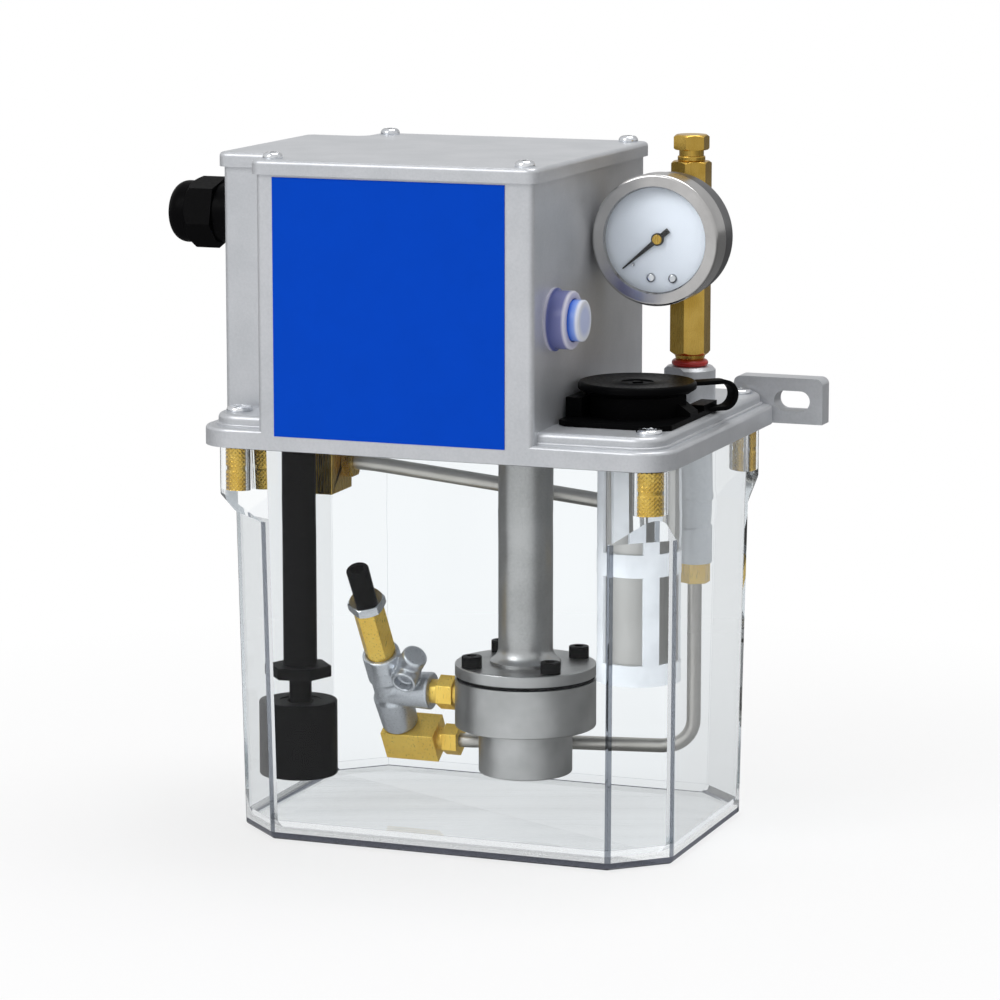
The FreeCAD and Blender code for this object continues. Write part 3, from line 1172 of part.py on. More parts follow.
def make_valve():
    centre = ("0", "0", "0")
    trunk = turned(
        "valve_trunk",
        (
            ("0", "-(valve_foot)"), ("valve_foot_r - 0.6", "-(valve_foot)"), ("valve_foot_r", "-4"), ("valve_waist_r", "-2.5"),
            ("valve_waist_r", "6.5"), ("valve_top_r", "7.3"), ("valve_top_r", "valve_top"), ("0", "valve_top"),
        ),
        centre, UP,
        [("valve_foot_r - 0.6", "-(valve_foot)", "1.2"), ("valve_top_r", "valve_top", "0.4")],
    )
    arm = turned(
        "valve_arm_rod",
        (("0", "0"), ("valve_waist_r", "0"), ("valve_arm_r", "valve_arm"), ("0", "valve_arm")),
        centre, RIGHT, [("valve_arm_r", "valve_arm", "0.6")],
    )
    lean = Rotation(Vector(0, 1, 0), size("branch_turn"))
    branch = turned(
        "valve_branch",
        (("0", "0"), ("branch_r", "0"), ("branch_r", "branch_long"), ("0", "branch_long")),
        ("branch_x", "0", "0"), lean, [("branch_r", "branch_long", "1")],
    )
    port = rod("valve_port", "port_r", "port_long", ("port_x", "0", "port_up"), FRONT)
    tools = (
        rod("valve_port_bore", "port_bore_r", "5", ("port_x", "-(port_long) + 4", "port_up"), FRONT),
        rod("valve_barrel_bore", "barrel_neck_r + fit", "20", ("0", "0", "barrel_low")),
        rod("valve_passage", "passage_r", "valve_foot + 20", ("0", "0", "-(valve_foot) - 1")),
        rod("valve_arm_bore", "fitting_thread_r + fit", "valve_arm", ("valve_arm - 6.1", "0", "0"), RIGHT),
        rod("valve_arm_passage", "passage_r", "valve_arm", centre, RIGHT),
    )
    tilted(cut("valve_body", fuse("valve_solid", trunk, arm, branch, port), *tools))

    hexbar = hexagon("barrel_hex", "barrel_flats", "barrel_top - valve_top - 1.2", ("0", "0", "valve_top + 1.2"), UP, 10)
    trim = turned(
        "barrel_trim",
        (
            ("0", "valve_top"), ("barrel_flats / 2 - 0.2", "valve_top"), ("barrel_flats / 2 + 1.2", "valve_top + 2.6"),
            ("barrel_flats / 2 + 1.2", "barrel_top - 0.8"), ("barrel_flats / 2", "barrel_top"), ("0", "barrel_top"),
        ),
        centre,
    )
    neck = rod("barrel_neck", "barrel_neck_r", "valve_top + 2 - barrel_low", ("0", "0", "barrel_low"))
    bore = rod("barrel_bore", "adjuster_r + fit", "barrel_top", ("0", "0", "poppet_low"))
    seat = rod("barrel_seat_bore", "1.5", "10", ("0", "0", "barrel_low - 1"))
    tilted(cut("relief_barrel", fuse("barrel_solid", common("barrel_body", hexbar, trim), neck), bore, seat))

    nut = hexagon("locknut_hex", "locknut_flats", "locknut_tall", ("0", "0", "barrel_top"), UP, 25)
    nut_trim = turned(
        "locknut_trim",
        (
            ("0", "barrel_top"), ("locknut_flats / 2", "barrel_top"), ("locknut_flats / 2 + 1.3", "barrel_top + 0.8"),
            ("locknut_flats / 2 + 1.3", "barrel_top + locknut_tall - 0.8"),
            ("locknut_flats / 2", "barrel_top + locknut_tall"), ("0", "barrel_top + locknut_tall"),
        ),
        centre,
    )
    hole = rod("locknut_bore", "adjuster_r + fit", "locknut_tall + 2", ("0", "0", "barrel_top - 1"))
    tilted(cut("relief_locknut", common("locknut_body", nut, nut_trim), hole))

    screw = turned(
        "adjuster_solid",
        (("0", "adjuster_low"), ("adjuster_r", "adjuster_low"), ("adjuster_r", "adjuster_top"), ("0", "adjuster_top")),
        centre, UP, [("adjuster_r", "adjuster_top", "0.5")],
    )
    socket = hexagon("adjuster_socket", "adjuster_socket_r * 2", "12", ("0", "0", "adjuster_top - 11"))
    tilted(cut("relief_adjuster", screw, socket))

    poppet = turned(
        "poppet_solid",
        (
            ("0", "poppet_low + 0.3"), ("2.2", "poppet_low + 0.3"), ("poppet_r", "poppet_low + 2"), ("poppet_r", "spring_low"),
            ("0", "spring_low"),
        ),
        centre,
    )
    tilted(group("relief_poppet", poppet))
    tilted(group("relief_spring", make_spring()))


def make_spring():
    """The relief spring: a coil between the poppet and the adjusting screw."""
    wire = size("spring_wire_r")
    coil = size("poppet_r") - wire
    low = size("spring_low") + wire + 0.1
    tall = size("adjuster_low") - size("spring_low") - 2 * wire - 0.2
    path = Part.makeHelix(tall / size("spring_turns"), tall, coil)
    rim = Part.Wire([Part.Circle(Vector(coil, 0, 0), Vector(0, 1, 0), wire).toShape()])
    piece = doc.addObject("Part::Feature", "relief_coil")
    piece.Shape = Part.Wire(path.Edges).makePipeShell([rim], True, True)
    piece.Placement = Placement(Vector(0, 0, low), Rotation())
    return piece


# Fittings and pipes in the tank
def make_fittings():
    start = "valve_x + valve_arm"
    hexed = f"{start} + fitting_washer"
    end = f"{hexed} + fitting_hex"
    axis = ("pump_y", "valve_z")
    surface = "pump_x - pump_r"
    body = fuse(
        "fitting_solid",
        rod("fitting_left_thread", "fitting_thread_r", "6", (f"{start} - 6", *axis), RIGHT),
        rod("fitting_left_neck", "fitting_r", "fitting_washer", (start, *axis), RIGHT),
        hexagon("fitting_hexagon", "fitting_flats", "fitting_hex", (hexed, *axis), RIGHT, 0),
        rod("fitting_right_neck", "fitting_r", f"{surface} - ({end}) + fitting_seat", (end, *axis), RIGHT),
        rod("fitting_right_thread", "fitting_thread_r", "7", (surface, *axis), RIGHT),
    )
    cut("pump_fitting", body, rod("fitting_bore", "passage_r", "40", (f"{start} - 8", *axis), RIGHT))

    low = "-(valve_foot + elbow_tall)"
    middle = "-(valve_foot + elbow_tall / 2)"
    face = "elbow_x - elbow_left"
    lump = block("elbow_lump", ("elbow_x", "elbow_side", "elbow_tall"), ("-(elbow_left)", "-(elbow_side) / 2", low))
    shank = rod("elbow_shank", "nut_neck_r", "nut_neck + 1", (f"{face} - 1", "0", middle), RIGHT)
    tools = (
        rod("elbow_down_bore", "passage_r", "elbow_tall", ("0", "0", middle)),
        rod("elbow_side_bore", "passage_r", "elbow_x", ("0", "0", middle), RIGHT),
        rod("elbow_pipe_seat", "pipe_r", "nut_neck + 5", (f"{face} - 3", "0", middle), RIGHT),
    )
    tilted(cut("elbow_block", fuse("elbow_solid", lump, shank), *tools))

    elbow_nut = tilted(cut(
        "elbow_nut_solid",
        hexagon("elbow_nut_hex", "nut_flats", "nut_hex", (f"{face} + nut_neck", "0", middle), RIGHT, 30),
        rod("elbow_nut_bore", "pipe_r", "nut_hex + 2", (f"{face} + nut_neck - 1", "0", middle), RIGHT),
    ))
    riser = ("column_x", "column_y")
    riser_nut = cut(
        "riser_nut_solid",
        hexagon("riser_nut_hex", "riser_nut_flats", "riser_nut_tall", (*riser, f"{SOCKET} - riser_nut_tall"), UP, 30),
        rod("riser_nut_bore", "pipe_r", "riser_nut_tall + 2", (*riser, f"{SOCKET} - riser_nut_tall - 1")),
    )
    group("pipe_nuts", elbow_nut, riser_nut)

    reach = "(valve_foot + elbow_tall / 2)"
    pipe_y = f"pump_y + {reach} * sin(valve_tilt)"
    pipe_z = f"valve_z - {reach} * cos(valve_tilt)"
    start_x = f"valve_x + {face} - 3"
    clear = "sump_r + pipe_r + 2.4"
    pipe(
        "delivery_pipe",
        (
            (start_x, pipe_y, pipe_z), (f"valve_x + {face} + nut_neck + nut_hex + 4", pipe_y, pipe_z),
            ("pump_x", f"pump_y + {clear}", pipe_z), (*riser, pipe_z), (*riser, f"{SOCKET} + 5"),
        ),
        ("bend_r", "bend_r * 4", "bend_r"), "pipe_r", "pipe_bore_r",
    )

    waist = f"{SOCKET} + waist_up"
    socket = turned(
        "outlet_socket_solid",
        (
            ("oil_bore_r", SOCKET), ("socket_r", SOCKET), ("socket_r", waist),
            ("socket_waist_r", f"{waist} + 1"), ("socket_waist_r", f"{waist} + waist_tall - 1"),
            ("socket_r", f"{waist} + waist_tall"), ("socket_r", CEILING), ("oil_bore_r", CEILING),
        ),
        (*riser, "0"), UP, [("socket_r", SOCKET, "0.6")],
    )
    pipe_start = ("sensor_x + sensor_wide / 2 - 3", "sensor_pipe_y", SENSOR_PIPE)
    pipe_bend = ("sensor_x + sensor_wide / 2 + sensor_nut + 5", "sensor_pipe_y", SENSOR_PIPE)
    pipe_end = (*riser, f"{SOCKET} + sensor_end_up")
    long_pipe = pipe("sensing_run", (pipe_start, pipe_bend, pipe_end), ("bend_r * 4",), "pipe_r", "pipe_bore_r")
    core = rod("sensing_end_room", "socket_waist_r - 2", "sensor_end_up * 2", (*riser, SOCKET))
    cut("sensing_pipe", long_pipe, core)
    full = pipe("sensing_pipe_space", (pipe_start, pipe_bend, pipe_end), ("bend_r * 4",), "pipe_r")
    mouth = rod("outlet_socket_seat", "pipe_r", "6", (*riser, f"{SOCKET} - 1"))
    cut("outlet_socket", socket, full, mouth)

    half = "sensor_wide / 2"
    lump = block(
        "sensor_lump", ("sensor_wide", "sensor_deep", "sensor_tall"),
        (f"sensor_x - {half}", "sensor_y - sensor_deep / 2", SENSOR))
    nut = hexagon("sensor_nut_hex", "riser_nut_flats", "sensor_nut + 1", (f"sensor_x + {half} - 1", "sensor_pipe_y", SENSOR_PIPE), RIGHT, 30)
    stub = rod("sensor_stub", "sensor_stub_r", f"{CEILING} - {SENSOR} - 4", ("sensor_x", "sensor_y", f"{SENSOR} + 4"))
    thread = rod("sensor_thread", "spigot_r", f"{DECK} - {SENSOR} - 4", ("sensor_x", "sensor_y", f"{SENSOR} + 4"))
    tools = (
        rod("sensor_pipe_seat", "pipe_r", "sensor_nut + 6", (f"sensor_x + {half} - 3", "sensor_pipe_y", SENSOR_PIPE), RIGHT),
        rod("sensor_side_bore", "passage_r", half, ("sensor_x", "sensor_pipe_y", SENSOR_PIPE), RIGHT),
        rod("sensor_up_bore", "passage_r", "40", ("sensor_x", "sensor_y", f"{SENSOR_PIPE} - 3")),
    )
    cut("sensing_elbow", fuse("sensor_solid", lump, nut, stub, thread), *tools)


make_tank()
group("tank_inserts", *four("tank_insert", make_insert, "screw_x", "screw_y"))
make_tank_gasket()
make_body_casting()
make_flange_screws()
make_lid()
make_front_panel()
make_gland()
make_button()
make_outlet_column()
make_gauge()
make_filler()
make_level_switch()
make_pump()
make_inside()
make_valve()
make_fittings()

NODES = (
    "tank", "tank_inserts", "tank_gasket", "body_casting", "flange_screws", "lid", "lid_screws",
    "front_panel", "gland_body", "gland_nut", "gland_insert", "gland_locknut", "button_switch", "button_sleeve",
    "button_cap", "button_plunger", "outlet_column", "outlet_plug", "column_oring", "gauge_case", "gauge_bezel",
    "gauge_dial", "gauge_glass", "gauge_pointer", "dial_screws", "filler_neck", "filler_cap", "filler_tether",
    "strainer_frame", "strainer_mesh", "level_tube", "level_stem", "level_clip", "level_float", "pump_column",
    "pump_cover", "pump_gasket", "pump_body", "pump_bolts", "drive_gear", "driven_gear", "drive_shaft",
    "shaft_coupling", "motor_housing", "motor_rotor", "circuit_board", "pressure_switch", "valve_body",
    "relief_barrel", "relief_locknut", "relief_adjuster", "relief_poppet", "relief_spring", "pump_fitting",
    "elbow_block", "pipe_nuts", "delivery_pipe", "outlet_socket", "sensing_elbow", "sensing_pipe",
)

doc.recompute()
faults = [item.Name for item in doc.Objects if "Invalid" in item.State or "Error" in item.State]
if faults:
    raise RuntimeError(f"objects that did not build: {faults}")
os.makedirs("parts", exist_ok=True)
for node in NODES:
    shape = doc.getObject(node).Shape
    if shape.isNull() or not shape.isValid() or not shape.Solids:
        raise RuntimeError(f"{node} has no valid solid")
    print(node, len(shape.Solids), round(shape.Volume / 1000, 2), shape.BoundBox)
for node in NODES:
    doc.getObject(node).Shape.exportStep(f"parts/{node}.step")
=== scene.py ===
"""Automatic lubricator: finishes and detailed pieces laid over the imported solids."""
import json
import math

import bmesh
import bpy
from mathutils import Matrix, Vector


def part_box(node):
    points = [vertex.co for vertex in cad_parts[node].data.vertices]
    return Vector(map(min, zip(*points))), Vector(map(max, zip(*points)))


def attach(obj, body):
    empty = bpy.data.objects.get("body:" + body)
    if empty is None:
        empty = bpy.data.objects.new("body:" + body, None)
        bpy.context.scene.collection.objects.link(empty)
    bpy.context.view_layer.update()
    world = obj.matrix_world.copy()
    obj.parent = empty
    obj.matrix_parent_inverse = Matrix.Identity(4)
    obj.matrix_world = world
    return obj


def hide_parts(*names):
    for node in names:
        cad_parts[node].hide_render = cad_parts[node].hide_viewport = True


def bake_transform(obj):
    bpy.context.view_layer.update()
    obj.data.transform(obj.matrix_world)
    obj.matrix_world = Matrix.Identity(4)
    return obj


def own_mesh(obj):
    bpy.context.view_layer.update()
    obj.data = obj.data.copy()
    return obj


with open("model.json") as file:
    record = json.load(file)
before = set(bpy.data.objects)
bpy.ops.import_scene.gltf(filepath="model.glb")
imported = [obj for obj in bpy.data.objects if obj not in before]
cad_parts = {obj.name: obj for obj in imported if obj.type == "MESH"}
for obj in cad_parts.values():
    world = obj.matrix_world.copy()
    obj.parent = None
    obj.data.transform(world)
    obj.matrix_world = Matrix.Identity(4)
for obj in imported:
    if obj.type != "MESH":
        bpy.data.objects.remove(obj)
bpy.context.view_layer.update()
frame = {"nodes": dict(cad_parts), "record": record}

MM = 0.001
MICRON = 0.001 * MM
WHITE = (1, 1, 1, 1)
NODES = frame["nodes"]
RECORD = frame["record"]

# Middles of the round parts, in millimetres
GAUGE = (74, 0, 251)
PUMP = (15, 0, 0)
FILLER = (70.6, -21, 0)


def metres(point):
    """A point given in millimetres, in the scene's metres."""
    return Vector(point) * MM


def srgb(red, green, blue):
    """A colour as it looks on screen, 0 to 255, in the linear values a shader takes."""
    def linear(value):
        value /= 255
        return value / 12.92 if value <= 0.04045 else ((value + 0.055) / 1.055) ** 2.4
    return (linear(red), linear(green), linear(blue), 1.0)


def body_of(node):
    """The name of the moving body that carries a node."""
    for body, nodes in RECORD["behaviour"]["bodies"].items():
        if node in nodes:
            return body
    return "lubricator"


# Materials
class Shading:
    """A node tree, with a short call for each kind of node that is added to it."""

    def __init__(self, tree):
        self.tree = tree

    def feed(self, socket, value):
        """Gives a socket a plain value or another node's output."""
        if isinstance(value, bpy.types.NodeSocket):
            self.tree.links.new(value, socket)
        else:
            socket.default_value = value

    def add(self, kind, **inputs):
        node = self.tree.nodes.new("ShaderNode" + kind)
        for socket, value in inputs.items():
            self.feed(node.inputs[socket.replace("_", " ")], value)
        return node

    def number(self, operation, *values, clamp=False):
        """One step of arithmetic."""
        node = self.add("Math")
        node.operation = operation
        node.use_clamp = clamp
        for socket, value in zip(node.inputs, values):
            self.feed(socket, value)
        return node.outputs[0]

    def vector(self, operation, *values):
        """One step on vectors, with a number as the result of a length or a dot product."""
        node = self.add("VectorMath")
        node.operation = operation
        for socket, value in zip(node.inputs, values):
            self.feed(socket, value)
        return node.outputs["Value" if operation in ("LENGTH", "DOT_PRODUCT") else "Vector"]

    def colours(self, share, first, second):
        """The first colour where the share is 0, and the second where it is 1."""
        node = self.add("Mix")
        node.data_type = "RGBA"
        for socket, value in ((0, share), (6, first), (7, second)):
            self.feed(node.inputs[socket], value)
        return node.outputs[2]

    def shaders(self, share, first, second):
        """The first shader where the share is 0, and the second where it is 1."""
        node = self.add("MixShader")
        for socket, value in zip(node.inputs, (share, first, second)):
            self.feed(socket, value)
        return node.outputs[0]

    def mirrored(self, path):
        """1 for what a surface mirrors, and 0 for what is seen directly or through the tank's wall."""
        from_wall = self.number("SUBTRACT", path.outputs["Transmission Depth"], 1.5)
        off_wall = self.number("GREATER_THAN", self.number("ABSOLUTE", from_wall), 1.0)
        glossy = self.number("GREATER_THAN", path.outputs["Glossy Depth"], 0.5)
        return self.number("MULTIPLY", glossy, off_wall)

    def seen(self, path, mirrored):
        """1 for what the camera sees directly or through something clear."""
        through = self.number("SUBTRACT", path.outputs["Is Transmission Ray"], mirrored, clamp=True)
        return self.number("MAXIMUM", path.outputs["Is Camera Ray"], through)


class Finish(Shading):
    """One material: a Principled shader with its pattern nodes on Object coordinates."""

    def __init__(self, name, colour, **sockets):
        self.name = name
        self.material = bpy.data.materials.new(name)
        self.material.use_nodes = True
        super().__init__(self.material.node_tree)
        self.shader = self.tree.nodes["Principled BSDF"]
        self.shader.inputs["Base Color"].default_value = colour
        for socket, value in sockets.items():
            self.shader.inputs[socket.replace("_", " ")].default_value = value
        self.place = self.add("TexCoord").outputs["Object"]

    def stretched(self, scale):
        """Object coordinates scaled along each axis, for grain that runs one way."""
        return self.add("Mapping", Vector=self.place, Scale=scale).outputs["Vector"]

    def round_axis(self, centre, axis="Z"):
        """Radius from an axis and height along it, for lines left by a lathe."""
        split = self.add("SeparateXYZ", Vector=self.vector("SUBTRACT", self.place, centre))
        flat = [name for name in "XYZ" if name != axis]
        arm = self.add("CombineXYZ", X=split.outputs[flat[0]], Y=split.outputs[flat[1]])
        reach = self.vector("LENGTH", arm.outputs[0])
        return self.add("CombineXYZ", X=reach, Z=split.outputs[axis]).outputs[0]

    def noise(self, scale, source=None, detail=3.0, rough=0.55):
        source = source or self.place
        node = self.add("TexNoise", Vector=source, Scale=scale, Detail=detail, Roughness=rough)
        return node.outputs["Fac"]

    def ramp(self, source, stops):
        node = self.add("ValToRGB", Fac=source)
        ramp = node.color_ramp
        while len(ramp.elements) < len(stops):
            ramp.elements.new(0.5)
        for element, (position, colour) in zip(ramp.elements, stops):
            element.position = position
            element.color = colour
        return node.outputs["Color"]

    def spread(self, source, low, high, start=0.3, end=0.7):
        """Carries the range from start to end over to the range from low to high."""
        node = self.add("MapRange", Value=source, From_Min=start, From_Max=end, To_Min=low, To_Max=high)
        return node.outputs["Result"]

    def colour(self, source, stops):
        self.feed(self.shader.inputs["Base Color"], self.ramp(source, stops))

    def rough(self, source, low, high):
        self.feed(self.shader.inputs["Roughness"], self.spread(source, low, high))

    def relief(self, source, depth, strength=0.5):
        """Adds fine relief, its depth in micrometres."""
        node = self.add("Bump", Height=source, Distance=depth * MICRON, Strength=strength)
        self.feed(self.shader.inputs["Normal"], node.outputs["Normal"])

    def show(self, shader):
        self.feed(self.tree.nodes["Material Output"].inputs["Surface"], shader)

    def lets_lamps_through(self, tint):
        """Rays towards the lamps, and rays caught inside the wall, pass the surface straight."""
        path = self.add("LightPath")
        caught = self.number("GREATER_THAN", path.outputs["Ray Depth"], 3.5)
        straight = self.number("MAXIMUM", path.outputs["Is Shadow Ray"], caught)
        film = self.add("BsdfTransparent", Color=tint)
        self.show(self.shaders(straight, self.shader.outputs[0], film.outputs[0]))


def painted_casting(name, light, dark, metal, grain=900.0, depth=60, rough=(0.40, 0.55)):
    """Silver-grey paint on a casting: a fine grain with a broad, faint mottle."""
    finish = Finish(name, light, Metallic=metal, Roughness=rough[0])
    fine = finish.noise(grain, detail=4.0, rough=0.65)
    broad = finish.noise(45.0, detail=2.0)
    mottle = finish.number("MULTIPLY", finish.number("ADD", fine, broad), 0.5)
    finish.colour(mottle, ((0.34, dark), (0.62, light)))
    finish.rough(fine, *rough)
    finish.relief(fine, depth, 0.6)
    return finish


def moulded(name, colour, rough, grain=1400.0, depth=30, fade=0.86, **sockets):
    """Moulded plastic or rubber with a faint texture from the tool."""
    finish = Finish(name, colour, Roughness=rough, **sockets)
    fine = finish.noise(grain, detail=2.0)
    broad = finish.noise(70.0)
    darker = tuple(fade * value for value in colour[:3]) + (1.0,)
    finish.colour(broad, ((0.35, darker), (0.65, colour)))
    finish.rough(fine, rough - 0.05, rough + 0.08)
    finish.relief(fine, depth)
    return finish


def translucent(name, node, rough, clear, along, across):
    """Smooth see-through plastic on the button: its tone changes along the axis and out from it, partly as
    painted light.
    """
    low, high = (Vector(corner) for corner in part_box(node))
    middle = (low + high) / 2
    finish = Finish(name, along[-1][1], Transmission_Weight=clear, IOR=1.3, Specular_IOR_Level=0.3)
    shape = finish.round_axis((low.x, middle.y, middle.z), "X")
    split = finish.add("SeparateXYZ", Vector=shape)
    depth = finish.spread(split.outputs["Z"], 0.0, 1.0, 0.0, high.x - low.x)
    reach = finish.spread(split.outputs["X"], 0.0, 1.0, 0.0, (high.z - low.z) / 2)
    front = finish.number("GREATER_THAN", depth, 0.985)
    # Painted light in part: the pale front face and its lighter outer ring stand in for light passing
    # through the plastic. The deeper blue along the sides stands in for the blue plunger seen through it.
    tone = finish.colours(front, finish.ramp(depth, along), finish.ramp(reach, across))
    finish.feed(finish.shader.inputs["Base Color"], tone)
    finish.rough(finish.noise(110.0, detail=1.0), rough, rough + 0.04)
    return finish


def brushed(name, light, dark, way, rough=(0.18, 0.32), depth=10, metal=1.0):
    """Metal with fine lines that run one way, across the scale given in lines a metre."""
    finish = Finish(name, light, Metallic=metal, Roughness=rough[0])
    lines = finish.noise(1.0, finish.stretched(way), rough=0.6)
    finish.colour(finish.noise(90.0), ((0.30, dark), (0.62, light)))
    finish.rough(lines, *rough)
    finish.relief(lines, depth)
    return finish


def turned_metal(name, light, dark, centre, axis="Z", rough=(0.28, 0.42), lines=1500.0, depth=10):
    """Metal off a lathe: fine rings round its axis on the faces and the sides alike."""
    finish = Finish(name, light, Metallic=1.0, Roughness=rough[0])
    rings = finish.noise(lines, finish.round_axis(metres(centre), axis), rough=0.7)
    finish.colour(finish.noise(60.0, detail=4.0), ((0.28, dark), (0.66, light)))
    finish.rough(rings, *rough)
    finish.relief(rings, depth)
    return finish


def clear_plastic(name, tint, shadow, rough=0.0, bend=1.44):
    """Clear moulded plastic with the faintest unevenness of a moulded wall."""
    finish = Finish(
        name, tint, Roughness=rough, IOR=bend, Transmission_Weight=1.0, Specular_IOR_Level=0.04,
        Specular_Tint=(0.2, 0.2, 0.2, 1))
    finish.relief(finish.noise(28.0, detail=1.0), 100, 0.02)
    finish.lets_lamps_through(shadow)
    return finish


def gauze(name):
    """Fine woven steel wire round the strainer's axis."""
    finish = Finish(name, srgb(200, 198, 195), Metallic=1.0, Roughness=0.34)
    split = finish.add("SeparateXYZ", Vector=finish.vector("SUBTRACT", finish.place, metres(FILLER)))
    angle = finish.number("ARCTAN2", split.outputs["Y"], split.outputs["X"])

    def wires(source, pitch):
        return finish.number("SINE", finish.number("MULTIPLY", source, pitch))

    weave = finish.number("MULTIPLY", wires(angle, 230.0), wires(split.outputs["Z"], 14000.0))
    # Random lighter and darker grey in streaks that run up and down the strainer.
    streaks = finish.noise(70.0, finish.stretched((1, 1, 0.3)))
    finish.colour(streaks, ((0.3, srgb(190, 188, 185)), (0.7, srgb(212, 210, 207))))
    finish.relief(weave, 40)
    return finish


cast_paint = painted_casting("cast_paint", srgb(202, 204, 208), srgb(188, 191, 195), 0.5, rough=(0.34, 0.46))
valve_casting = painted_casting(
    "valve_casting", srgb(206, 209, 214), srgb(182, 185, 190), 0.8, 1100.0, 40, (0.26, 0.36))
column_steel = painted_casting(
    "column_steel", srgb(190, 189, 188), srgb(162, 161, 160), 0.95, 1300.0, 30, (0.28, 0.38))
socket_alloy = painted_casting(
    "socket_alloy", srgb(204, 208, 213), srgb(186, 190, 196), 0.2, 800.0, 30, (0.34, 0.46))
motor_paint = painted_casting("motor_paint", srgb(122, 126, 130), srgb(98, 102, 106), 0.3)

acrylic = clear_plastic("acrylic", srgb(250, 252, 253), (0.93, 0.95, 0.96, 1))
# Painted shade: the edge, rim and corner tints are darker greys standing in for the dark lines that
# refraction makes along the tank's edges, front corners and foot. The slope tint is near clear and only
# bends light less.
acrylic_edge_shade = clear_plastic("acrylic_edge_shade", srgb(150, 156, 166), (0.86, 0.88, 0.90, 1), 0.03)
acrylic_rim_shade = clear_plastic("acrylic_rim_shade", srgb(36, 38, 47), (0.80, 0.82, 0.85, 1), 0.03)
acrylic_corner_shade = clear_plastic("acrylic_corner_shade", srgb(86, 92, 102), (0.84, 0.86, 0.88, 1), 0.03)
acrylic_slope = clear_plastic("acrylic_slope", srgb(238, 241, 244), (0.93, 0.95, 0.96, 1), bend=1.01)
gauge_glass = clear_plastic("gauge_glass", srgb(252, 253, 253), (0.96, 0.97, 0.97, 1))

brass = brushed("brass", srgb(206, 172, 88), srgb(184, 148, 64), (2600, 2600, 90), (0.20, 0.36))
# A lighter, less metallic copy of the brass for the valve and pipe fittings inside the tank. It is partly
# their own brighter brass and partly painted light, making up for the dimmer light that reaches them through
# the tank's wall.
brass_painted_lighter = brushed(
    "brass_painted_lighter", srgb(248, 210, 100), srgb(236, 192, 82), (1400, 1400, 120), (0.26, 0.34), 1, metal=0.6)
knurled_brass = brushed(
    "knurled_brass", srgb(226, 190, 96), srgb(196, 152, 60), (900, 900, 900), (0.22, 0.36))
zinc = brushed("zinc", srgb(226, 228, 231), srgb(196, 199, 204), (1200, 1200, 1200), (0.12, 0.24))
pipe_steel = brushed(
    "pipe_steel", srgb(200, 196, 190), srgb(190, 186, 180), (60, 400, 400), (0.34, 0.40), 0.8)

stainless = turned_metal(
    "stainless", srgb(192, 191, 190), srgb(172, 171, 170), GAUGE, "Y", (0.16, 0.26), 2600.0)
case_steel = turned_metal(
    "case_steel", srgb(116, 116, 118), srgb(94, 94, 97), GAUGE, "Y", (0.30, 0.42), 2000.0)
pump_steel = turned_metal(
    "pump_steel", srgb(192, 191, 190), srgb(166, 165, 164), PUMP, "Z", (0.30, 0.44), 1700.0, 20)
steel_gauze = gauze("steel_gauze")

blue_film = moulded("blue_film", srgb(0, 74, 206), 0.5, 2600.0, 10, 0.97, Specular_IOR_Level=0.05)
dial_paint = moulded("dial_paint", srgb(222, 228, 238), 0.5, 2400.0, 10, 0.98, Specular_IOR_Level=0.2)
needle_paint = moulded("needle_paint", srgb(16, 16, 17), 0.3, 1800.0, 10)
black_plastic = moulded("black_plastic", srgb(10, 10, 11), 0.36, 700.0, 6, Specular_IOR_Level=0.02)
black_rubber = moulded("black_rubber", srgb(11, 11, 12), 0.55, 900.0, 10, Specular_IOR_Level=0.03)
black_steel = moulded("black_steel", srgb(11, 11, 12), 0.30, 900.0, 6, Specular_IOR_Level=0.02)
grey_rubber = moulded("grey_rubber", srgb(58, 60, 64), 0.66, 1800.0, 40)
red_rubber = moulded("red_rubber", srgb(196, 36, 28), 0.36, 1200.0, 20, Coat_Weight=0.2)
white_plastic = moulded(
    "white_plastic", srgb(240, 242, 246), 0.38, 1100.0, 20, Subsurface_Weight=0.2,
    Subsurface_Radius=(0.004, 0.004, 0.004))
board_lacquer = moulded("board_lacquer", srgb(20, 92, 48), 0.32, 700.0, 40)
button_plastic = moulded("button_plastic", srgb(34, 100, 232), 0.3, 900.0, 4)
# In these ramps, the pale ends and the pale outer rings are painted light glowing through the plastic. The
# deeper blue stops are the plunger showing through.
sleeve_plastic = translucent(
    "sleeve_plastic", "button_sleeve", 0.16, 0.15,
    along=(
        (0.0, srgb(214, 212, 230)), (0.09, srgb(204, 203, 226)), (0.16, srgb(104, 112, 172)),
        (0.80, srgb(134, 138, 188)), (0.93, srgb(230, 229, 244))),
    across=((0.60, srgb(196, 192, 214)), (0.88, srgb(232, 230, 246))))
cap_plastic = translucent(
    "cap_plastic", "button_cap", 0.12, 0.1,
    along=(
        (0.0, srgb(52, 92, 200)), (0.55, srgb(74, 124, 238)), (0.80, srgb(150, 180, 250)),
        (0.90, srgb(238, 242, 255))),
    across=((0.55, srgb(206, 216, 250)), (0.90, srgb(244, 247, 255))))

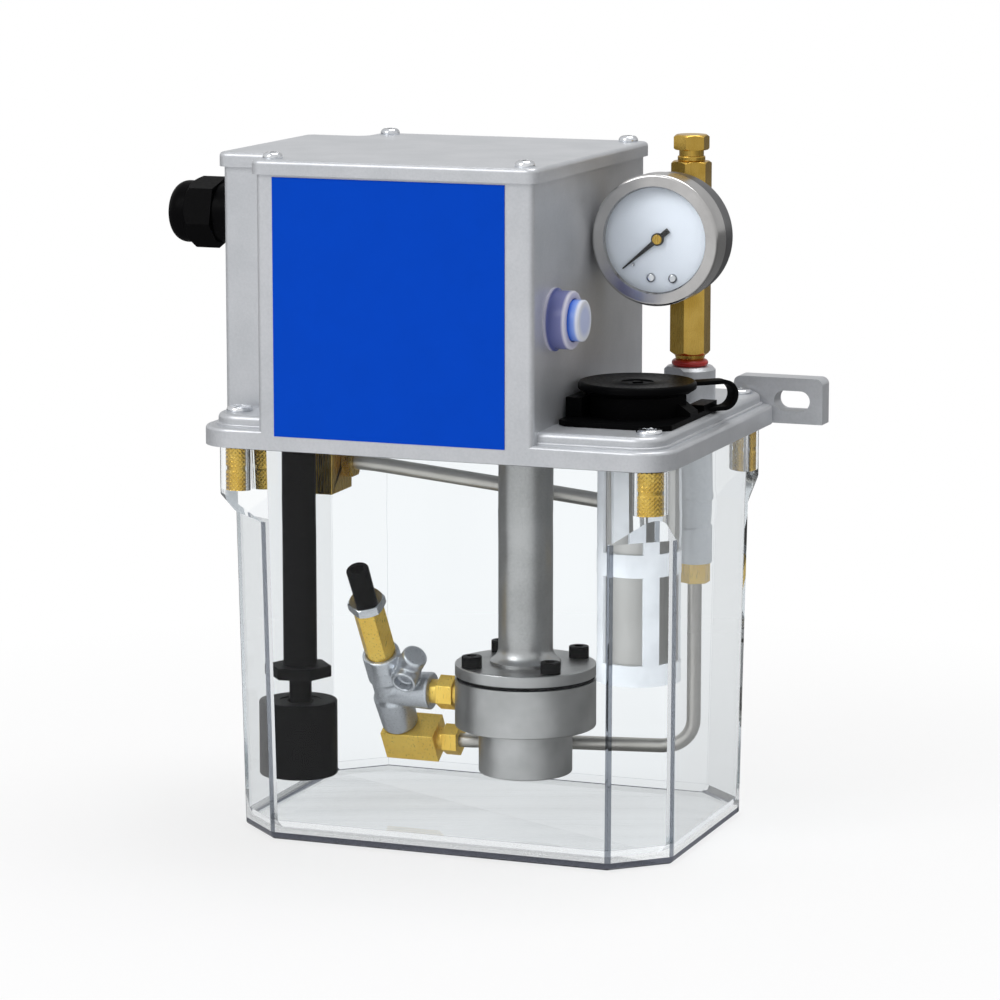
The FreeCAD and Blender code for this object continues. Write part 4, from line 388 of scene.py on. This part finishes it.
FINISHES = {
    "tank": acrylic, "tank_inserts": knurled_brass, "tank_gasket": grey_rubber, "body_casting": cast_paint,
    "flange_screws": zinc, "lid": cast_paint, "lid_screws": zinc, "front_panel": blue_film,
    "gland_body": black_plastic, "gland_nut": black_plastic, "gland_insert": black_rubber,
    "gland_locknut": black_plastic, "button_switch": black_plastic, "button_sleeve": sleeve_plastic,
    "button_cap": cap_plastic, "button_plunger": button_plastic, "outlet_column": brass,
    "outlet_plug": brass, "column_oring": red_rubber, "gauge_case": case_steel, "gauge_bezel": stainless,
    "gauge_dial": dial_paint, "gauge_glass": gauge_glass, "gauge_pointer": needle_paint,
    "dial_screws": zinc, "filler_neck": black_plastic, "filler_cap": black_plastic,
    "filler_tether": black_rubber, "strainer_frame": white_plastic, "strainer_mesh": steel_gauze,
    "level_tube": black_plastic, "level_stem": black_plastic, "level_clip": black_plastic,
    "level_float": black_plastic, "pump_column": column_steel, "pump_cover": pump_steel,
    "pump_gasket": black_rubber, "pump_body": pump_steel, "pump_bolts": black_steel,
    "drive_gear": pump_steel, "driven_gear": pump_steel, "drive_shaft": stainless,
    "shaft_coupling": pump_steel, "motor_housing": motor_paint, "motor_rotor": motor_paint,
    "circuit_board": board_lacquer, "pressure_switch": black_plastic, "valve_body": valve_casting,
    "relief_barrel": brass_painted_lighter, "relief_locknut": zinc, "relief_adjuster": black_steel,
    "relief_poppet": brass, "relief_spring": stainless, "pump_fitting": brass_painted_lighter,
    "elbow_block": brass_painted_lighter, "pipe_nuts": brass_painted_lighter, "delivery_pipe": pipe_steel,
    "outlet_socket": socket_alloy, "sensing_elbow": brass, "sensing_pipe": pipe_steel,
}


def dress(node, finish):
    """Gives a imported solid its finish."""
    piece = NODES[node]
    if not piece.material_slots:
        piece.data.materials.append(finish.material)
    for slot in piece.material_slots:
        slot.link = "OBJECT"
        slot.material = finish.material


for node, finish in FINISHES.items():
    dress(node, finish)


# Making of pieces
def set_out(name, shape, finish, body, replaced=(), sharp=32, extra=()):
    """Turns an edited mesh into a piece that rides on a body."""
    mesh = bpy.data.meshes.new(name)
    shape.to_mesh(mesh)
    shape.free()
    for shade in (finish, *extra):
        mesh.materials.append(shade.material)
    mesh.polygons.foreach_set("use_smooth", [True] * len(mesh.polygons))
    mesh.set_sharp_from_angle(angle=math.radians(sharp))
    piece = bpy.data.objects.new(name, mesh)
    bpy.context.scene.collection.objects.link(piece)
    if body:
        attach(piece, body)
    if replaced:
        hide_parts(*replaced)
    return piece


def even_normals(piece):
    """Keeps broad faces flat where a narrow rounded edge meets them."""
    weight = piece.modifiers.new("even_normals", "WEIGHTED_NORMAL")
    weight.keep_sharp = True
    weight.weight = 100


def merged_copy(node):
    """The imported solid's faces, joined up and with flat areas made whole."""
    shape = bmesh.new()
    shape.from_mesh(NODES[node].data)
    bmesh.ops.remove_doubles(shape, verts=shape.verts, dist=2 * MICRON)
    bmesh.ops.dissolve_limit(
        shape, angle_limit=math.radians(0.6), use_dissolve_boundaries=False,
        verts=shape.verts, edges=shape.edges, delimit=set())
    return shape


def sharp_edges(shape, degrees=34):
    """Edges whose two faces meet at more than an angle."""
    limit = math.radians(degrees)
    return [
        edge for edge in shape.edges
        if len(edge.link_faces) == 2 and edge.calc_face_angle(0.0) > limit
    ]


def round_off(shape, edges, width, segments=2):
    """Rounds edges over a width in millimetres, and gives back the faces this makes."""
    made = bmesh.ops.bevel(
        shape, geom=edges, offset=width * MM, offset_type="OFFSET", affect="EDGES",
        segments=segments, profile=0.5, clamp_overlap=True, material=-1)
    return made["faces"]


def eased(node, name, width, change=None):
    """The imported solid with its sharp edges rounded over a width, as a piece of its own."""
    shape = merged_copy(node)
    if change:
        change(shape)
    round_off(shape, sharp_edges(shape), width)
    even_normals(set_out(name, shape, FINISHES[node], body_of(node), (node,)))


def lathe(shape, outline, centre, steps=96, way="Z"):
    """Turns an outline of radius and height, in millimetres, about an axis through a centre."""
    turn = Matrix.Rotation(math.radians(90), 4, "X") if way == "-Y" else Matrix.Identity(4)
    place = Matrix.Translation(metres(centre)) @ turn
    corners = [shape.verts.new(place @ metres((radius, 0, height))) for radius, height in outline]
    edges = [shape.edges.new(pair) for pair in zip(corners, corners[1:] + corners[:1])]
    axis = (place.to_3x3() @ Vector((0, 0, 1))).normalized()
    bmesh.ops.spin(
        shape, geom=corners + edges, cent=place.translation, axis=axis, dvec=(0, 0, 0),
        angle=math.tau, steps=steps, use_merge=True, use_duplicate=False)
    bmesh.ops.remove_doubles(shape, verts=shape.verts, dist=MICRON)
    flat = [face for face in shape.faces if face.calc_area() < 1e-13]
    bmesh.ops.delete(shape, geom=flat, context="FACES")
    loose = [edge for edge in shape.edges if not edge.link_faces]
    bmesh.ops.delete(shape, geom=loose, context="EDGES")
    bmesh.ops.recalc_face_normals(shape, faces=shape.faces)


# Tank
FOOT_BAND = 3.5 * MM
BACK_BAND = 2.1 * MM
CORNER_LENGTH = 60 * MM
SLOPES_FROM = 60 * MM
EDGE, RIM, CORNER, SLOPE = 1, 2, 3, 4
TANK_TRIM = (acrylic_edge_shade, acrylic_rim_shade, acrylic_corner_shade, acrylic_slope)


def clear_tank():
    """The tank, with painted shade: its rounded edges, its rounded front corners and a narrow band round its
    foot are tinted darker than its walls, standing in for the dark lines that refraction draws there.
    """
    shape = merged_copy("tank")

    def rounded(edges, width, segments, trim):
        for face in round_off(shape, edges, width, segments):
            face.material_index = trim

    shape.normal_update()
    corners = []
    for edge in sharp_edges(shape, 20):
        first, last = (end.co for end in edge.verts)
        middle = (first + last) / 2
        upright = abs(first.z - last.z) > CORNER_LENGTH
        outside = all(middle.xy.dot(face.normal.xy) > 0 for face in edge.link_faces)
        at_foot = max(first.z, last.z) < 0.2 * MM
        if at_foot or upright and outside and middle.y < 0:
            corners.append(edge)
    # Painted shade: the rounded front corners and the foot's edges get the dark grey corner tint.
    rounded(corners, 1.4, 4, CORNER)
    others = [
        edge for edge in sharp_edges(shape, 20)
        if not any(face.material_index for face in edge.link_faces)
    ]
    rounded(others, 0.6, 3, EDGE)
    # Painted shade: faces in a band round the foot, lower at the back, get the darkest rim tint.
    for height in (FOOT_BAND, BACK_BAND):
        bmesh.ops.bisect_plane(
            shape, geom=shape.verts[:] + shape.edges[:] + shape.faces[:], dist=1e-7,
            plane_co=(0, 0, height), plane_no=(0, 0, 1))
    shape.normal_update()
    for face in shape.faces:
        spot = face.calc_center_median()
        outside = spot.xy.dot(face.normal.xy) > 0
        band = BACK_BAND if face.normal.y > 0.3 else FOOT_BAND
        if spot.z < band and face.normal.z > -0.95:
            face.material_index = RIM
        elif spot.z > SLOPES_FROM and outside and -0.95 < face.normal.z < -0.2:
            face.material_index = SLOPE
    even_normals(set_out("clear_tank", shape, acrylic, "lubricator", ("tank",), extra=TANK_TRIM))


def knurled_inserts():
    """Four inserts with two bands of diamond knurling and a plain groove between them."""
    shape = bmesh.new()
    rows, teeth, deep = 50, 20, 0.6
    low, tall, radius, bore = 147.0, 18.0, 5.8, 2.6
    across, along = 89, 60
    side = [(radius, low + tall * row / rows) for row in range(rows + 1)]
    for x in (-across, across):
        for y in (-along, along):
            lathe(shape, [*side, (bore, low + tall), (bore, low)], (x, y, 0), 5 * teeth)

    def ridge(turn):
        return abs((turn % 1.0) * 2 - 1)

    for corner in shape.verts:
        centre = Vector((math.copysign(across * MM, corner.co.x), math.copysign(along * MM, corner.co.y)))
        arm = corner.co.xy - centre
        if arm.length > 0.8 * radius * MM:
            up = (corner.co.z / MM - low) / tall
            turn = teeth * math.atan2(arm.y, arm.x) / math.tau
            slant = teeth * up * tall / (math.tau * radius)
            top = min(ridge(turn + slant), ridge(turn - slant))
            cut = deep if 0.45 < up < 0.55 else deep * (1 - top)
            corner.co.xy = centre + arm * (1 - cut / radius)
    set_out("knurled_inserts", shape, knurled_brass, "lubricator", ("tank_inserts",), sharp=50)


# Relief valve
VALVE_FOOT = metres((-46.4, 0, 54.1))
VALVE_LEAN = math.radians(32)
VALVE_WAY = Vector((0, -math.sin(VALVE_LEAN), math.cos(VALVE_LEAN)))
BARREL_TOP = 43.3 * MM
BARREL_RISE = 3.4 * MM
SCREW_GROWTH = 1.12
UNION_MIDDLE = -20.9 * MM


def height_up_valve(point):
    """How far up the valve's axis a point lies."""
    return (point - VALVE_FOOT).dot(VALVE_WAY)


def longer_barrel(shape):
    """The barrel's upper end and its nut stand further up the valve's axis."""
    for corner in shape.verts:
        if height_up_valve(corner.co) > BARREL_TOP - 2 * MM:
            corner.co += VALVE_WAY * BARREL_RISE


def thicker_screw(shape):
    """The adjusting screw, and the nut's hole round it, a little wider about the valve's axis."""
    for corner in shape.verts:
        height = height_up_valve(corner.co)
        foot = VALVE_FOOT + VALVE_WAY * height
        arm = corner.co - foot
        if 4 * MM < arm.length < 5 * MM and height > BARREL_TOP - 1 * MM:
            corner.co = foot + arm * SCREW_GROWTH


def higher_nut(shape):
    """The lock nut, wider in its hole and further up."""
    thicker_screw(shape)
    longer_barrel(shape)


def turned_round(shape):
    """The union between valve and pump, its hexagon at the pump."""
    for corner in shape.verts:
        corner.co.x = 2 * UNION_MIDDLE - corner.co.x
    bmesh.ops.reverse_faces(shape, faces=shape.faces)


def relief_coil():
    """The relief spring, as a piece of its own with its own mesh."""
    coil = set_out(
        "relief_coil", merged_copy("relief_spring"), stainless, "lubricator", ("relief_spring",), sharp=50)
    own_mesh(coil)


def cast_valve():
    """The relief valve's casting, its joints blended as a casting's are."""
    shape = merged_copy("valve_body")
    rough = bpy.data.meshes.new("valve_rough")
    shape.to_mesh(rough)
    shape.free()
    stand_in = bpy.data.objects.new("valve_rough", rough)
    bpy.context.scene.collection.objects.link(stand_in)
    fine = stand_in.modifiers.new("fine", "REMESH")
    fine.mode = "VOXEL"
    fine.voxel_size = 0.42 * MM
    soft = stand_in.modifiers.new("soft", "SMOOTH")
    soft.factor = 0.5
    soft.iterations = 9
    ready = stand_in.evaluated_get(bpy.context.evaluated_depsgraph_get())
    smooth = bmesh.new()
    smooth.from_mesh(ready.to_mesh())
    ready.to_mesh_clear()
    bpy.data.objects.remove(stand_in)
    bpy.data.meshes.remove(rough)
    set_out("valve_casting", smooth, valve_casting, "lubricator", ("valve_body",), sharp=60)


# Filler and gauge
def screw_on_cap():
    """The filler's cap: a shallow dish with a ring and an arrow in its middle."""
    shape = bmesh.new()
    top, seat = 194.8, 190.2
    arrow = [
        shape.verts.new(metres((FILLER[0] + x, FILLER[1] + y, top - 1.2)))
        for x, y in ((-1.6, -1.5), (2.2, 0.9), (-1.9, 1.9))
    ]
    raised = bmesh.ops.extrude_face_region(shape, geom=[shape.faces.new(arrow)])["geom"]
    upper = [part for part in raised if isinstance(part, bmesh.types.BMVert)]
    bmesh.ops.translate(shape, verts=upper, vec=metres((0, 0, 0.8)))
    lathe(shape, (
        (0, top - 0.9), (6.0, top - 0.9), (6.5, top - 0.75), (6.7, top - 0.35), (7.3, top - 0.35),
        (7.7, top - 0.55), (14, top - 0.45), (21, top - 0.22), (22.3, top - 0.02), (22.9, top),
        (23.5, top - 0.15), (23.9, top - 0.5), (24.2, top - 1.1), (24.2, seat + 1.9), (24.0, seat + 1.6),
        (21.7, seat + 0.1), (21.4, seat), (14.92, seat), (14.92, seat - 5.5), (12.72, seat - 5.5),
        (12.72, seat + 1), (0, seat + 1),
    ), FILLER)
    set_out("screw_cap", shape, black_plastic, "cap", ("filler_cap",), sharp=40)


def bending_strap():
    """The strap that holds the cap, with its edges rounded."""
    shape = merged_copy("filler_tether")
    round_off(shape, sharp_edges(shape), 0.3)
    piece = set_out("cap_strap", shape, black_rubber, None, ("filler_tether",), sharp=50)
    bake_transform(piece)


def gauge_details():
    """The brass cap on the pointer's hub and the pin that the pointer rests against."""
    hub = bmesh.new()
    lathe(
        hub, ((0, 6.7), (2.05, 6.7), (2.05, 7.05), (1.85, 7.25), (0.7, 7.35), (0.55, 7.2), (0, 7.2)),
        GAUGE, 48, "-Y")
    set_out("pointer_cap", hub, brass, "needle")
    pin = bmesh.new()
    arm = 15
    turn = math.radians(226)
    place = (GAUGE[0] + arm * math.cos(turn), GAUGE[1], GAUGE[2] + arm * math.sin(turn))
    lathe(pin, ((0, 4.8), (0.5, 4.8), (0.5, 6.5), (0.35, 6.7), (0, 6.7)), place, 24, "-Y")
    set_out("pointer_stop", pin, zinc, "lubricator")


# Each solid that only has its edges rounded: its piece, the width in millimetres and any change before it
EASED = (
    ("body_casting", "casting", 0.7), ("elbow_block", "valve_elbow", 0.35),
    ("sensing_elbow", "sensing_block", 0.3), ("outlet_column", "column_hex", 0.3),
    ("outlet_plug", "column_plug", 0.3), ("pipe_nuts", "pipe_hexes", 0.25),
    ("level_stem", "level_collar", 0.5), ("gland_body", "gland_collar", 0.35),
    ("gland_nut", "gland_dome_nut", 0.4), ("filler_neck", "filler_base", 0.45),
    ("pump_bolts", "pump_cap_screws", 0.3), ("flange_screws", "flange_pan_screws", 0.2),
    ("lid_screws", "lid_pan_screws", 0.2), ("relief_barrel", "barrel_hex", 0.25, longer_barrel),
    ("relief_locknut", "barrel_nut", 0.25, higher_nut),
    ("relief_adjuster", "barrel_screw", 0.25, thicker_screw),
    ("pump_fitting", "valve_union", 0.25, turned_round),
)
clear_tank()
for entry in EASED:
    eased(*entry)
knurled_inserts()
screw_on_cap()
bending_strap()
relief_coil()
gauge_details()
cast_valve()


# Camera, lights and floor
TARGET = Vector((0.00260, 0.00098, 0.13779))
STAND = Vector((0.60696, -1.59924, 0.43234))
FLOOR_PAINT = srgb(250, 250, 251)


def aimed(name, data, place, target):
    """A camera or a lamp at a place, turned towards a target."""
    piece = bpy.data.objects.new(name, data)
    bpy.context.scene.collection.objects.link(piece)
    way = Vector(target) - Vector(place)
    piece.matrix_world = Matrix.Translation(place) @ way.to_track_quat("-Z", "Y").to_matrix().to_4x4()
    return piece


def photo_camera():
    """The camera at the photo's angle."""
    lens = bpy.data.cameras.new("camera")
    lens.lens = 148.96
    lens.sensor_width = 36
    lens.clip_start = 0.05
    lens.clip_end = 40
    bpy.context.scene.camera = aimed("camera", lens, STAND, TARGET)


def lamp(name, place, size, power):
    """A square soft lamp aimed at the object."""
    light = bpy.data.lights.new(name, "AREA")
    light.shape = "SQUARE"
    light.size = size
    light.energy = power
    aimed(name, light, place, (0, 0, 0.14))


def studio_room():
    """A white backdrop, a dimmer room that lights the object, and a soft gradient for what is mirrored."""
    world = bpy.data.worlds.new("studio")
    bpy.context.scene.world = world
    world.use_nodes = True
    world.node_tree.nodes.clear()
    air = Shading(world.node_tree)
    path = air.add("LightPath")
    mirrored = air.mirrored(path)
    room = air.add("Background", Color=WHITE, Strength=0.33)
    backdrop = air.add("Background", Color=WHITE, Strength=1.0)
    bright_side = Vector((-0.16, -0.85, 0.50)).normalized()
    lean = air.vector("DOT_PRODUCT", air.add("TexCoord").outputs["Generated"], bright_side)
    shade = air.add("MapRange", Value=lean, From_Min=-0.80, From_Max=0.85, To_Min=0.75, To_Max=1.15)
    shade.interpolation_type = "SMOOTHSTEP"
    mirror = air.add("Background", Strength=shade.outputs[0])
    around = air.shaders(mirrored, room.outputs[0], mirror.outputs[0])
    air.add("OutputWorld", Surface=air.shaders(air.seen(path, mirrored), around, backdrop.outputs[0]))


def pale_floor():
    """A pale floor that whitens away from the object."""
    plate = bmesh.new()
    bmesh.ops.create_circle(plate, cap_ends=True, segments=96, radius=30.0)
    floor_mesh = bpy.data.meshes.new("floor")
    plate.to_mesh(floor_mesh)
    plate.free()
    floor = bpy.data.objects.new("floor", floor_mesh)
    bpy.context.scene.collection.objects.link(floor)
    ground = Finish("pale_floor", FLOOR_PAINT, Roughness=0.7, Specular_IOR_Level=0.2)
    far = ground.spread(ground.vector("LENGTH", ground.place), 0.70, 1.0, 0.14, 0.45)
    front = Vector((-0.10, -1.0, 0)).normalized()
    toward = ground.vector("DOT_PRODUCT", ground.vector("NORMALIZE", ground.place), front)
    deep = ground.ramp(
        ground.spread(toward, 0.0, 1.0, -0.25, 0.95),
        ((0.0, (0.20, 0.20, 0.20, 1)), (0.45, (0.30, 0.30, 0.30, 1)), (1.0, WHITE)))
    rays = ground.add("LightPath")
    mirrored = ground.mirrored(rays)
    ground.feed(ground.shader.inputs["Base Color"], ground.colours(mirrored, FLOOR_PAINT, deep))
    glowing = ground.number("MAXIMUM", ground.seen(rays, mirrored), mirrored)
    glow = ground.add("Emission", Color=ground.colours(mirrored, WHITE, deep), Strength=1.0)
    share = ground.number("MULTIPLY", far, glowing)
    ground.show(ground.shaders(share, ground.shader.outputs[0], glow.outputs[0]))
    floor_mesh.materials.append(ground.material)


photo_camera()
lamp("key_lamp", (-1.1, -1.9, 1.7), 1.3, 26.0)
lamp("fill_lamp", (1.9, 0.6, 0.9), 1.2, 0.6)
lamp("top_lamp", (0.3, 0.3, 2.1), 1.2, 20.0)
studio_room()
pale_floor()

bpy.context.scene.view_settings.view_transform = "Standard"
